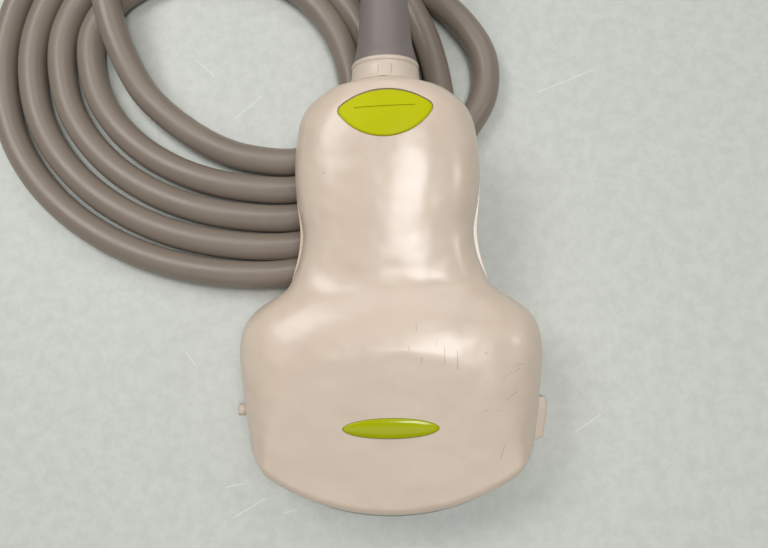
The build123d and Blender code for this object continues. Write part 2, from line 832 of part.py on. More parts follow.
def make_plug_lock():
    """The turning lock: its bushes, its keyed shaft, clip, lever and lever screw."""
    bore = plug_bar(shaft_diameter + 2 * running_gap, -overrun, 2 * plug_depth)
    bush_end = plug_wall + bush_flange
    bush = plug_bar(bush_diameter, 0, bush_end)
    bush = bush + plug_bar(bush_flange_diameter, plug_wall, bush_end)
    plug["shaft_bush_rear"] = bush - bore
    plug["shaft_bush_front"] = plug_bar(bush_diameter, block_end - block_depth, block_end) - bore
    lever_start = -lever_gap - lever_depth
    shaft_start = lever_start + lever_screw_height
    key_start = block_end + contact_stand + fit_gap
    key_end = key_start + shaft_key_width
    key = plug_block(shaft_key_length, shaft_key_width, key_start, key_end)
    key = fillet(key.edges().filter_by(Axis.Y), shaft_key_width * key_corner_share)
    clip_start = bush_end + fit_gap
    clip_end = clip_start + clip_thickness
    groove = plug_bar(bush_diameter, clip_start, clip_end)
    clip_bore = plug_bar(shaft_diameter - 2 * clip_thickness, clip_start, clip_end)
    thread = plug_bar(plug_screw_diameter, shaft_start, -lever_gap)
    shaft = plug_bar(shaft_diameter, shaft_start, key_end) + key
    plug["lock_shaft"] = shaft - (groove - clip_bore) - thread
    clip = plug_bar(clip_diameter, clip_start, clip_end) - clip_bore
    clip_mouth = Pos(0, 0, -clip_diameter / 2) * plug_block(
        shaft_diameter - 2 * clip_thickness, clip_diameter, clip_start, clip_end
    )
    plug["shaft_clip"] = clip - clip_mouth
    hub_r, end_r = lever_hub_diameter / 2, lever_tip_width / 2
    far = lever_reach - end_r
    lean = (hub_r - end_r) / far
    rise = sqrt(1 - lean**2)
    corners = [
        (hub_r * lean, hub_r * rise),
        (far + end_r * lean, end_r * rise),
        (far + end_r * lean, -end_r * rise),
        (hub_r * lean, -hub_r * rise),
    ]
    arm = extrude(Plane.XZ * make_face(Polyline(*corners, close=True)), lever_depth)
    arm = Pos(0, -lever_gap, plug_height / 2) * arm
    lever = plug_bar(lever_hub_diameter, lever_start, -lever_gap) + arm
    lever = lever + plug_bar(lever_tip_width, lever_start, -lever_gap, far)
    lever = chamfer(lever.edges().group_by(Axis.Y)[0], lever_edge)
    sink = plug_bar(lever_screw_head + 2 * fit_gap, lever_start, shaft_start)
    plug["lock_lever"] = lever - plug_bar(shaft_diameter, shaft_start, 0) - sink
    head = plug_bar(lever_screw_head, lever_start + fit_gap, shaft_start)
    slot = plug_block(
        lever_screw_head * slot_length_share,
        plug_screw_diameter * slot_width_share,
        lever_start,
        lever_start + lever_screw_height * slot_depth_share,
    )
    plug["lever_screw"] = head + thread - slot


def make_plug_boot():
    """The plug's own strain relief and the cable's end inside it."""
    lay = Pos(plug_boot_x, 0, plug_boot_z)
    root_r, end_r = plug_boot_diameter / 2, plug_boot_tip / 2
    boot = Rot(90, 0, 0) * Cone(root_r, end_r, plug_boot_length)
    boot = Pos(0, -plug_boot_length / 2, 0) * boot
    boot = fillet(boot.edges().sort_by(Axis.Y)[0], boot_edge_radius)
    inside = plug_wall + plug_boss_diameter
    cable = rod(cord_diameter, -plug_boot_length, inside)
    plug["plug_boot"] = lay * (boot - rod(cord_diameter, -plug_boot_length, 0))
    plug["plug_cable_end"] = lay * cable


make_shells()
back = make_lens()
make_chassis(back)
make_boards(back)
make_cable_end()
make_neck()

# The probe is tilted until the rear facet of its nose is level. It stands on z 0 with the
# middle of its box over the origin.
rest_height = nose_thickness / 2 * cos(tilt)
stand = Pos(0, 0, rest_height) * Rot(degrees(tilt), 0, 0)
parts = {name: stand * shape for name, shape in parts.items()}
boxes = [shape.bounding_box() for shape in parts.values()]
middle_x = (min(b.min.X for b in boxes) + max(b.max.X for b in boxes)) / 2
middle_y = (min(b.min.Y for b in boxes) + max(b.max.Y for b in boxes)) / 2
parts = {name: Pos(-middle_x, -middle_y, 0) * shape for name, shape in parts.items()}
tip = housing_length + collar_length - boot_seat_depth + boot_length
tip_y = tip * cos(tilt) - middle_y
boot_tip = Vector(-middle_x, tip_y, rest_height + tip * sin(tilt))
print("middle", round(middle_x, 3), round(middle_y, 3), "lowest", min(b.min.Z for b in boxes))
print("boot tip", [round(v, 2) for v in boot_tip])

make_plug_case()
make_plug_front()
make_plug_lock()
make_plug_boot()
for name, shape in plug.items():
    parts[name] = Pos(plug_x, plug_y, 0) * shape
make_cord(boot_tip, Vector(0, cos(tilt), sin(tilt)))

os.makedirs("parts", exist_ok=True)
for name, shape in parts.items():
    export_step(shape, "parts/" + name + ".step")
print(len(parts), "parts")
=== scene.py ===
# %% [markdown]
# # A convex ultrasound probe on a table
# The probe lies face up, with its cord in a loose flat coil under the grip and its plug for
# the scanner out of the picture. The CAD frame gives every solid its place. This script
# gives the solids their finish, redraws the pieces that need a softer or finer form, and
# lights them plainly.

import json
from math import asin, atan, comb, cos, pi, radians, sin, sqrt, tau

import bmesh
import bpy
import numpy as np
from mathutils import Matrix, Vector


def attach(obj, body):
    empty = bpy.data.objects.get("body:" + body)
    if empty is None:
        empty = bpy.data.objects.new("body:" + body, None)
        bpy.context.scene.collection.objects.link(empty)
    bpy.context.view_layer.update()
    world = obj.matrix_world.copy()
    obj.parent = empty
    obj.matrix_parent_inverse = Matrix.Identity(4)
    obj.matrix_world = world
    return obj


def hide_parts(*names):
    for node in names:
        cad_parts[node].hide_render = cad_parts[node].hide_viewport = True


mm = 0.001
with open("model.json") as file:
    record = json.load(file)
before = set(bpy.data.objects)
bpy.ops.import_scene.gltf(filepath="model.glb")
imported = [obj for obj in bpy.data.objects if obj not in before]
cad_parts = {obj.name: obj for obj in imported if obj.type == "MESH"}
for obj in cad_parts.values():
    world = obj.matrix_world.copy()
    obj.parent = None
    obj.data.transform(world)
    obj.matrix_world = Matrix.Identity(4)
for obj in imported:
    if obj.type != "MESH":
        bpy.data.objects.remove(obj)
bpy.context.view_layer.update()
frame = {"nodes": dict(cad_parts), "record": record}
cad_nodes = frame["nodes"]
print(len(cad_nodes), "CAD nodes")

# %% [markdown]
# The photograph was taken by hand from just above the head of the probe, with a wide lens
# close to it, so the head looks large and the grip falls away. A camera could be aimed at
# the object with a constraint, but its roll would be lost. Here its place and its three
# turns are set as numbers: it looks down, pitched a little towards the cord.

# %% Camera at the photograph's angle
camera_place = Vector((2.9, -48.53, 171.26)) * mm
turn_x, turn_y, turn_z = radians(10.53), radians(1.779), radians(-0.773)
camera_data = bpy.data.cameras.new("camera")
camera_data.lens = 30.0
camera_data.sensor_width = 36.0
camera_data.clip_start = 0.005
camera = bpy.data.objects.new("camera", camera_data)
camera.matrix_world = (
    Matrix.Translation(camera_place)
    @ Matrix.Rotation(turn_z, 4, "Z")
    @ Matrix.Rotation(turn_y, 4, "Y")
    @ Matrix.Rotation(turn_x, 4, "X")
)
bpy.context.collection.objects.link(camera)
bpy.context.scene.camera = camera
print("camera height", round(camera.matrix_world.translation.z, 4))

# %% [markdown]
# The light in the photograph comes from a bright room: a ceiling light over the head, which
# shows as a broad gloss on the grip, a key light behind the grip, which leaves the nose in
# its own shadow, a small one low on the right, which draws thin streaks, and weaker light
# from the front and from a window at the left. A picture of a room could light it all at
# once, but area lamps can be moved one by one and give soft edges to the shadows.

# %% Lamps, world and view
scene = bpy.context.scene
scene.view_settings.view_transform = "Standard"

# name: place, the point it is aimed at, its width and height (m), and its power (W)
lamps = {
    "ceiling_lamp": ((0.13, -0.08, 0.75), (0.0, -0.02, 0.0), (0.32, 0.18), 2.3),
    "key_lamp": ((0.10, 0.46, 0.56), (0.0, -0.02, 0.0), (0.5, 0.34), 0.85),
    "side_lamp": ((0.56, 0.02, 0.42), (0.0, 0.0, 0.0), (0.03, 0.14), 0.24),
    "front_lamp": ((-0.10, -0.62, 0.62), (0.0, -0.04, 0.0), (0.7, 0.4), 0.7),
    "window_lamp": ((-0.27, 0.16, 0.44), (-0.12, 0.0, 0.0), (0.3, 0.2), 1.05),
}
for name, (place, aim, size, power) in lamps.items():
    lamp = bpy.data.lights.new(name, "AREA")
    lamp.shape = "RECTANGLE"
    lamp.size, lamp.size_y = size
    lamp.energy = power
    holder = bpy.data.objects.new(name, lamp)
    holder.location = place
    holder.rotation_euler = (Vector(aim) - Vector(place)).to_track_quat("-Z", "Y").to_euler()
    bpy.context.collection.objects.link(holder)

world = bpy.data.worlds.new("room")
world.use_nodes = True
scene.world = world
room = world.node_tree.nodes["Background"]
room.inputs["Color"].default_value = (0.94, 0.97, 0.96, 1.0)
room.inputs["Strength"].default_value = 0.10
print("lamps", list(lamps))

# %% [markdown]
# A material is a small tree of nodes. The helpers below add a node, feed its inputs by name
# and join two sockets, so that each finish can be read as a short list of steps.

# %% Helpers for node trees


def join(tree, source, target):
    tree.links.new(source, target)


def feed(tree, socket, value):
    """Joins an input to another node's output, or sets it to a plain value."""
    if hasattr(value, "node"):
        join(tree, value, socket)
    else:
        socket.default_value = value


def feed_by_name(tree, node, inputs):
    """Feeds a node's inputs by name, with an underscore for each space."""
    for name, value in inputs.items():
        feed(tree, node.inputs[name.replace("_", " ")], value)
    return node


def add_node(tree, kind, **inputs):
    return feed_by_name(tree, tree.nodes.new(kind), inputs)


def place_group(tree, group, **inputs):
    node = tree.nodes.new("ShaderNodeGroup")
    node.node_tree = group
    return feed_by_name(tree, node, inputs)


def math_node(tree, operation, *values, clamp=False):
    """One sum with numbers or sockets; returns the socket of its result."""
    node = tree.nodes.new("ShaderNodeMath")
    node.operation = operation
    node.use_clamp = clamp
    for socket, value in zip(node.inputs, values):
        feed(tree, socket, value)
    return node.outputs[0]


def vector_node(tree, operation, *values):
    """One sum with vectors; returns its node, as some sums put out a plain number."""
    node = tree.nodes.new("ShaderNodeVectorMath")
    node.operation = operation
    for socket, value in zip(node.inputs, values):
        feed(tree, socket, value)
    return node


def mix_colours(tree, share, first, second):
    node = tree.nodes.new("ShaderNodeMix")
    node.data_type = "RGBA"
    # this node has a pair of inputs for each kind of data, and 6 and 7 are the colours
    for index, value in ((0, share), (6, first), (7, second)):
        feed(tree, node.inputs[index], value)
    return node.outputs[2]


def ramp(tree, value, low, high):
    """0 below low, 1 above high, and a smooth rise between them."""
    node = add_node(tree, "ShaderNodeMapRange", Value=value, From_Min=low, From_Max=high)
    node.interpolation_type = "SMOOTHSTEP"
    return node.outputs["Result"]


def new_group(name, inputs, outputs):
    """An empty shader node group with named sockets; returns it, its input and output."""
    group = bpy.data.node_groups.new(name, "ShaderNodeTree")
    for label, kind, value in inputs:
        socket = group.interface.new_socket(label, in_out="INPUT", socket_type=kind)
        if value is not None:
            socket.default_value = value
    for label, kind in outputs:
        group.interface.new_socket(label, in_out="OUTPUT", socket_type=kind)
    return group, group.nodes.new("NodeGroupInput"), group.nodes.new("NodeGroupOutput")


float_kind, vector_kind = "NodeSocketFloat", "NodeSocketVector"
print("helpers ready")

# %% [markdown]
# ## Effects that several finishes share
# Moulded plastic is never perfectly even: its gloss varies where hands have polished it,
# and it has a very fine grain from the mould. A photograph of a surface could show this,
# but noise needs no picture and has no seams. The group puts out a height for the grain
# and a share of wear. It is built once and placed in each material.

# %% Shared effect: mould grain and handling
grain_group, grain_in, grain_out = new_group(
    "mould_grain",
    [("Position", vector_kind, None), ("Grain Size", float_kind, 900.0)],
    [("Height", float_kind), ("Wear", float_kind)],
)
spot, grain_size = grain_in.outputs["Position"], grain_in.outputs["Grain Size"]
grain_noise = add_node(
    grain_group, "ShaderNodeTexNoise", Vector=spot, Scale=grain_size, Detail=3.0, Roughness=0.6
)
wear_noise = add_node(
    grain_group, "ShaderNodeTexNoise", Vector=spot, Scale=55.0, Detail=4.0, Roughness=0.65
)
wear_share = ramp(grain_group, wear_noise.outputs["Fac"], low=0.35, high=0.68)
join(grain_group, grain_noise.outputs["Fac"], grain_out.inputs["Height"])
join(grain_group, wear_share, grain_out.inputs["Wear"])
print("group", grain_group.name)

# %% [markdown]
# The head of the probe has a few long scratches and many hairlines, which catch the light
# in one direction. They could be painted on a picture, but a picture blurs close up. One
# scratch is the set of points near a straight line between two ends. A group measures
# that distance, seen from the front, and turns it into a thin soft mask, so a new scratch
# only needs its two ends and its width.

# %% Shared effect: one scratch between two points
scratch_group, scratch_in, scratch_out = new_group(
    "scratch",
    [
        ("Position", vector_kind, None),
        ("Start", vector_kind, None),
        ("End", vector_kind, None),
        ("Width", float_kind, 0.0001),
    ],
    [("Mask", float_kind)],
)
spot, start, end, width = list(scratch_in.outputs)[:4]
without_height = (1, 1, 0)
from_start = vector_node(scratch_group, "SUBTRACT", spot, start)
flat = vector_node(scratch_group, "MULTIPLY", from_start.outputs[0], without_height).outputs[0]
whole = vector_node(scratch_group, "SUBTRACT", end, start).outputs[0]
along = vector_node(scratch_group, "DOT_PRODUCT", flat, whole).outputs["Value"]
square = vector_node(scratch_group, "DOT_PRODUCT", whole, whole).outputs["Value"]
part_way = math_node(scratch_group, "DIVIDE", along, square, clamp=True)
nearest = vector_node(scratch_group, "SCALE", whole)
join(scratch_group, part_way, nearest.inputs["Scale"])
away = vector_node(scratch_group, "SUBTRACT", flat, nearest.outputs[0])
distance = vector_node(scratch_group, "LENGTH", away.outputs[0]).outputs["Value"]
relative = math_node(scratch_group, "DIVIDE", distance, width)
faded = ramp(scratch_group, relative, low=0.25, high=1.0)
join(scratch_group, math_node(scratch_group, "SUBTRACT", 1.0, faded), scratch_out.inputs["Mask"])


def scratched(tree, place, rows):
    """One mask for a list of scratches, each with its start, its end and its width (mm)."""
    marks = None
    for start, end, width in rows:
        one = place_group(
            tree,
            scratch_group,
            Position=place,
            Start=(start[0] * mm, start[1] * mm, 0),
            End=(end[0] * mm, end[1] * mm, 0),
            Width=width * mm,
        ).outputs["Mask"]
        marks = one if marks is None else math_node(tree, "MAXIMUM", marks, one)
    return marks


print("group", scratch_group.name)

# %% [markdown]
# ## Finishes
# Each finish is a Principled shader with a colour, a roughness and a faint relief. Colours
# are written as they look on screen and turned to the linear values that Blender uses.

# %% Helpers for finishes


def screen_colour(red, green, blue):
    """Linear colour of one that is written as it looks on screen, from 0 to 255."""
    values = []
    for value in (red, green, blue):
        value = value / 255
        values.append(value / 12.92 if value <= 0.04045 else ((value + 0.055) / 1.055) ** 2.4)
    return (*values, 1.0)


def new_material(name, colour, roughness, metallic=0.0):
    """A plain material; returns it with its tree, its shader and its Object coordinates."""
    material = bpy.data.materials.new(name)
    material.use_nodes = True
    tree = material.node_tree
    shader = tree.nodes["Principled BSDF"]
    shader.inputs["Base Color"].default_value = colour
    shader.inputs["Roughness"].default_value = roughness
    shader.inputs["Metallic"].default_value = metallic
    material.diffuse_color = colour
    return material, tree, shader, tree.nodes.new("ShaderNodeTexCoord").outputs["Object"]


def add_relief(tree, shader, height, distance):
    bump = add_node(tree, "ShaderNodeBump", Distance=distance, Height=height)
    join(tree, bump.outputs["Normal"], shader.inputs["Normal"])


def grained(name, colour, roughness, grain_size, relief, wear=0.12, tint=0.06, metallic=0.0):
    """A finish with fine grain, whose gloss and tone wander a little."""
    material, tree, shader, place = new_material(name, colour, roughness, metallic)
    grain = place_group(tree, grain_group, Position=place, Grain_Size=grain_size)
    rough = math_node(tree, "MULTIPLY_ADD", grain.outputs["Wear"], wear, roughness - wear / 2)
    join(tree, rough, shader.inputs["Roughness"])
    darker = (*(value * (1 - tint) for value in colour[:3]), 1.0)
    tone = mix_colours(tree, grain.outputs["Wear"], darker, colour)
    join(tree, tone, shader.inputs["Base Color"])
    if relief is not None:
        add_relief(tree, shader, grain.outputs["Height"], relief)
    return material, tree, shader, place, grain, tone


finishes = {}
print("helpers ready")

# %% [markdown]
# The housing is a pinkish ivory plastic with a satin gloss. Its head is scratched on the
# right, with short marks on the face, a few specks of dirt, and hairlines in the corner.
# The scratches are drawn from points on the face. They darken the plastic a little, as
# dirt stays in them, and press a thin groove into it. The relief of the whole skin is
# added up first, because a shader takes one normal only.

# %% Housing plastic with its scratches
ivory, scratch_brown = screen_colour(222, 203, 184), screen_colour(150, 130, 112)
shell, tree, shader, place, grain, tone = grained(
    "shell_ivory", ivory, 0.36, 900.0, relief=None, wear=0.10, tint=0.05
)
shader.inputs["Coat Weight"].default_value = 0.45
shader.inputs["Coat Roughness"].default_value = 0.18

# start and end on the face (mm), and width (mm)
scratches = [
    ((12.0, -38.7), (11.9, -42.4), 0.13),
    ((14.8, -39.6), (14.7, -43.7), 0.15),
    ((5.8, -33.1), (5.9, -35.3), 0.10),
    ((6.9, -40.8), (6.8, -42.1), 0.16),
    ((3.9, -38.6), (4.2, -39.3), 0.22),
    ((10.3, -37.2), (10.4, -38.5), 0.08),
    ((27.9, -42.7), (29.9, -42.4), 0.10),
    ((27.4, -44.3), (28.8, -43.4), 0.10),
    ((25.4, -50.4), (28.2, -48.4), 0.13),
    ((24.5, -46.0), (26.9, -44.3), 0.09),
    ((25.2, -60.3), (24.1, -63.6), 0.12),
    ((21.1, -40.1), (21.3, -40.2), 0.26),
    ((-14.8, 1.4), (-14.7, 1.3), 0.28),
    ((21.0, -52.7), (21.1, -52.6), 0.22),
    ((23.6, -52.7), (23.7, -52.6), 0.22),
]
marks = scratched(tree, place, scratches)
mark_share = math_node(tree, "MULTIPLY", marks, 0.45)
worn = mix_colours(tree, mark_share, tone, scratch_brown)
join(tree, worn, shader.inputs["Base Color"])

# a moulded skin is a little wavy, which breaks a reflection into patches
wave_height, scratch_depth, grain_depth = 0.62 * mm, 0.02 * mm, 0.003 * mm
waves = add_node(
    tree, "ShaderNodeTexNoise", Vector=place, Scale=140.0, Detail=1.0, Roughness=0.4
)
relief = math_node(tree, "MULTIPLY", waves.outputs["Fac"], wave_height)
relief = math_node(tree, "MULTIPLY_ADD", marks, -scratch_depth, relief)
relief = math_node(tree, "MULTIPLY_ADD", grain.outputs["Height"], grain_depth, relief)
add_relief(tree, shader, relief, 1.0)
finishes["shell_ivory"] = shell
print(len(scratches), "scratches")

# %% [markdown]
# The other plastics, rubbers and metals are simpler. Each could have a cell of its own, but
# they only differ in numbers, so two tables hold each one's colour, how rough it is, how
# coarse its grain is and how deep, and a loop builds them all. The badge and the marker
# get their gloss at the end, because one is dull and the other shines like glass.

# %% Plain finishes
# name: colour, roughness, grain size, relief
moulded = {
    "lens_grey": ((150, 152, 140), 0.42, 700.0, 3e-6),
    "seal_dark": ((42, 41, 38), 0.6, 900.0, 6e-6),
    "badge_lime": ((196, 198, 2), 0.42, 900.0, 2e-6),
    "marker_gloss": ((176, 184, 2), 0.16, 500.0, 1e-6),
    "collar_ivory": ((218, 202, 185), 0.38, 900.0, 4e-6),
    "boot_grey": ((130, 120, 116), 0.5, 1100.0, 6e-6),
    "cord_grey": ((140, 127, 115), 0.36, 1300.0, 5e-6),
    "array_layers": ((96, 84, 72), 0.5, 900.0, 4e-6),
    "array_ceramic": ((196, 186, 156), 0.35, 900.0, 2e-6),
    "backing_black": ((34, 34, 36), 0.6, 600.0, 8e-6),
    "board_green": ((22, 92, 48), 0.3, 500.0, 2e-6),
    "chip_black": ((26, 26, 27), 0.45, 900.0, 3e-6),
    "flex_amber": ((176, 104, 34), 0.28, 300.0, 2e-6),
    "bundle_white": ((226, 224, 216), 0.5, 800.0, 8e-6),
    "clamp_white": ((214, 213, 207), 0.45, 800.0, 5e-6),
    "plug_grey": ((176, 174, 168), 0.46, 1000.0, 8e-6),
    "block_black": ((28, 28, 30), 0.42, 900.0, 4e-6),
    "lever_dark": ((56, 58, 62), 0.4, 1000.0, 7e-6),
}

# name: colour, roughness, grain size, relief
metals = {
    "array_metal": ((190, 190, 192), 0.38, 900.0, 6e-6),
    "shield_tin": ((196, 196, 190), 0.34, 500.0, 3e-6),
    "screw_steel": ((186, 186, 188), 0.28, 700.0, 2e-6),
    "shroud_metal": ((192, 192, 190), 0.3, 600.0, 3e-6),
    "contact_gold": ((226, 186, 96), 0.25, 500.0, 1e-6),
    "post_brass": ((214, 178, 104), 0.3, 600.0, 2e-6),
}
for table_of, metallic in ((moulded, 0.0), (metals, 1.0)):
    for name, (colour, roughness, grain_size, relief) in table_of.items():
        finishes[name] = grained(
            name, screen_colour(*colour), roughness, grain_size, relief, metallic=metallic
        )[0]

# name: level of the plain gloss, and weight of the clear coat
glossy = {"badge_lime": (0.1, 0.0), "marker_gloss": (0.2, 0.35)}
for name, (gloss, coat) in glossy.items():
    inputs = finishes[name].node_tree.nodes["Principled BSDF"].inputs
    inputs["Specular IOR Level"].default_value = gloss
    inputs["Coat Weight"].default_value = coat
    inputs["Coat Roughness"].default_value = 0.06
print(len(finishes), "finishes")

# %% [markdown]
# Every solid of the frame has a slot in the record that says what it is made of. The
# finish of that name goes on it. Nothing is moved: a node's place is in its mesh.

# %% Finishes on the CAD solids
slot_of = {row["node"]: row["material_slot"] for row in frame["record"]["subparts"]}
for name, solid in cad_nodes.items():
    solid.data.materials.clear()
    solid.data.materials.append(finishes[slot_of[name]])
print("dressed", len(cad_nodes))

# %% [markdown]
# ## The housing
# The real housing is two moulded shells with soft edges and one smooth skin. A CAD solid
# arrives as long thin triangles, which shade in streaks, so the skin is drawn again as a
# dense even grid from the same rule: a rounded section at each station along the probe,
# cut by two flat facets at the nose and by the arc of the lens. The numbers are those of
# the CAD model, in its own axes: x across, y from the lens's tip, z out of the front.

# %% Rule of the housing
# all lengths are in mm, and slopes are rise over run
head_width, head_thickness, head_length = 72.6, 31.2, 53.6
grip_width, grip_thickness, grip_length = 45.0, 24.0, 48.9
saddle_thickness, neck_width = 21.0, 17.6
waist_step, wall = 0.8, 2.2
facet_slope, nose_thickness = 0.165, 17.4
lens_radius, nose_radius, nose_rounding = 50.0, 49.3, 2.4
housing_length = head_length + grip_length
tilt = atan(facet_slope)
rest_height = nose_thickness / 2 * cos(tilt)
# the frame's origin lies under this point, across and along the probe
own_middle = (0.25, 75.94)

# share of the length, of the half width and of the half thickness, and squareness
head_rows = [
    (-0.12, 0.84, 0.98, 0.68),
    (0.10, 0.885, 0.985, 0.64),
    (0.264, 0.922, 0.99, 0.60),
    (0.42, 0.955, 1.0, 0.56),
    (0.60, 0.988, 1.0, 0.52),
    (0.72, 1.0, 0.975, 0.50),
    (0.805, 0.984, 0.93, 0.50),
    (0.862, 0.945, 0.88, 0.50),
    (0.912, 0.872, 0.82, 0.50),
    (0.952, 0.783, 0.765, 0.50),
    (0.992, 0.694, 0.71, 0.50),
]
# share of the length and half width, thickness gained, squareness, and the waist's step
grip_rows = [
    (0.055, 1.048, 0.0, 0.49, 0.4),
    (0.115, 1.008, 0.08, 0.46, 0.8),
    (0.19, 0.972, 0.25, 0.42, 1.0),
    (0.27, 0.956, 0.45, 0.38, 1.0),
    (0.38, 0.976, 0.74, 0.34, 0.5),
    (0.52, 1.0, 0.97, 0.30, 0.1),
    (0.66, 0.99, 1.0, 0.30, 0.0),
    (0.765, 0.962, 0.90, 0.28, 0.0),
]
# share of the length, how far towards the neck in width and thickness, and squareness
shoulder_rows = [
    (0.845, 0.14, 0.14, 0.24),
    (0.91, 0.30, 0.29, 0.18),
    (0.955, 0.50, 0.48, 0.12),
    (0.985, 0.74, 0.72, 0.06),
    (1.0, 1.0, 1.0, 0.0),
]


def smooth_through(knots, values):
    """A natural cubic spline through the values, as a function."""
    knots, values = np.array(knots), np.array(values)
    gap = np.diff(knots)[:, None]
    count = len(knots)
    matrix, right = np.eye(count), np.zeros_like(values)
    slope = np.diff(values, axis=0) / gap
    for i in range(1, count - 1):
        matrix[i, i - 1 : i + 2] = gap[i - 1, 0], 2 * (gap[i - 1, 0] + gap[i, 0]), gap[i, 0]
        right[i] = 6 * (slope[i] - slope[i - 1])
    bend = np.linalg.solve(matrix, right)

    def at(place):
        place = np.clip(np.asarray(place, float), knots[0], knots[-1])
        i = np.clip(np.searchsorted(knots, place) - 1, 0, count - 2)
        span = gap[i, 0][..., None]
        before = (knots[i + 1] - place)[..., None] / span
        after = 1 - before
        bent = ((before**3 - before) * bend[i] + (after**3 - after) * bend[i + 1]) * span**2 / 6
        return before * values[i] + after * values[i + 1] + bent

    return at


def sections(inset, step):
    """Half width, half thickness and squareness along y, moved in by inset."""
    knots, values = [], []
    for along, wide, thick, square in head_rows:
        knots.append(along * head_length)
        values.append((wide * head_width / 2 - inset, thick * head_thickness / 2 - inset, square))
    for along, wide, gained, square, stepped in grip_rows:
        half_w = wide * grip_width / 2 - stepped * step
        half_t = (saddle_thickness + gained * (grip_thickness - saddle_thickness)) / 2
        knots.append(head_length + along * grip_length)
        values.append((half_w - inset, half_t - inset, square))
    for along, across, gained, square in shoulder_rows:
        half_w = (grip_width + across * (neck_width - grip_width)) / 2
        half_t = (grip_thickness + gained * (neck_width - grip_thickness)) / 2
        knots.append(head_length + along * grip_length)
        values.append((half_w - inset, half_t - inset, square))
    return smooth_through(knots, values)


# inner control points of a plainly oval quarter, and what full squareness adds to them
oval_controls, square_gains = (0.331, 0.866, 0.631), (0.119, 0.134, 0.319)
facet_blend = 0.5


def quadrant(square, t):
    """A point of the unit section's first quadrant, from its side (t 0) to its top (t 1)."""
    near, wide, full = (c + gain * square for c, gain in zip(oval_controls, square_gains))
    run = [1.0, 1.0, wide, full, near, 0.0]
    rise = run[::-1]
    weights = [comb(5, k) * t**k * (1 - t) ** (5 - k) for k in range(6)]
    across = sum(weight * point for weight, point in zip(weights, run))
    up = sum(weight * point for weight, point in zip(weights, rise))
    return across, up


def soft_lower(one, other):
    """The lower of two heights, blended where they cross."""
    share = np.clip(0.5 + 0.5 * (other - one) / facet_blend, 0, 1)
    return other * (1 - share) + one * share - facet_blend * share * (1 - share)


print("housing", housing_length, "mm long")

# %% [markdown]
# The grid's columns run along the probe, from the arc of the nose to the neck, and its
# rows run across it. Rows lie closer where the nose is rounded. Subdivision would smooth a
# coarse cage, but it would also draw the edges in, so every point is computed. A half of
# the housing is the skin above the seam plane with a flat base, so it is a closed body,
# which booleans can cut.

# %% Closed half of the housing
seam_gap, least_rise = 0.06, 0.004
quarter_steps = np.concatenate([[0, 0.012], np.linspace(0.03, 1, 44)])
rows_along, rounding_rows, halvings = 170, 12, 40
# points nearer than this are one point
touching = 1e-4


def round_off(near, radius):
    """How far a rounded edge has gone in, at a distance from the face it ends at."""
    left = np.clip(radius - near, 0, radius)
    return radius - np.sqrt(np.maximum(radius**2 - left**2, 0))


def nose_start(at, columns, reach, edge, depth):
    """Where each column meets the nose's arc, at a depth in its rounded edge."""
    low, high = np.zeros(len(columns)), np.full(len(columns), lens_radius - 5)
    for _ in range(halvings):
        middle = (low + high) / 2
        half_w, _half_t, square = at(middle).T
        across = quadrant(square, columns)[0] * (half_w - round_off(depth, edge))
        inside = np.hypot(across, lens_radius - middle) < reach - depth
        high = np.where(inside, middle, high)
        low = np.where(inside, low, middle)
    return (low + high) / 2


def half_skin(inset, step, end, rounded):
    """Points of the skin above the seam, in rows across the probe from nose to neck."""
    at = sections(inset, step)
    columns = np.concatenate([quarter_steps, quarter_steps[-2::-1]])
    sides = np.concatenate([np.ones(len(quarter_steps)), -np.ones(len(quarter_steps) - 1)])
    # every column stays a little above the one before it, so no two faces fall together
    order = np.arange(len(columns))
    lowest = (seam_gap if rounded else 0.0) + least_rise * np.minimum(order, order[::-1])
    edge, depths = 0.0, [0.0]
    if rounded:
        edge = nose_rounding
        depths = edge * (1 - np.cos(np.linspace(0, pi / 2, rounding_rows)))
    rows = [(nose_start(at, columns, nose_radius - inset, edge, d), d) for d in depths]
    flat_start = rows[-1][0]
    for share in np.linspace(0, 1, rows_along)[1:]:
        rows.append((flat_start + (end - flat_start) * share, edge))
    grid = []
    for y, depth in rows:
        half_w, half_t, square = at(y).T
        across, up = quadrant(square, columns)
        # at a rounded edge the whole section draws in
        move = round_off(depth, edge)
        flat = nose_thickness / 2 - (inset + move) / cos(tilt) + y * facet_slope
        z = np.maximum(soft_lower(up * (half_t - move), flat), lowest)
        x = across * (half_w - move) * sides
        grid.append(np.stack([x, y, z], axis=1))
    return np.array(grid)


def closed_half(name, skin, side, base_z=seam_gap):
    """A closed body between the skin and a flat base; side -1 is the rear half."""
    rows, columns, _ = skin.shape
    base = skin.copy()
    base[:, :, 2] = base_z
    points = np.concatenate([skin.reshape(-1, 3), base.reshape(-1, 3)])
    points[:, 2] *= side
    half = rows * columns
    faces = []
    for row in range(rows - 1):
        for column in range(columns - 1):
            here = row * columns + column
            under = half + here
            faces.append((here, here + 1, here + columns + 1, here + columns))
            faces.append((under, under + columns, under + columns + 1, under + 1))
    for row in range(rows - 1):
        for column in (0, columns - 1):
            here = row * columns + column
            faces.append((here, here + columns, half + here + columns, half + here))
    for column in range(columns - 1):
        for row in (0, rows - 1):
            here = row * columns + column
            faces.append((here, here + 1, half + here + 1, half + here))
    return closed_body(name, points, faces)


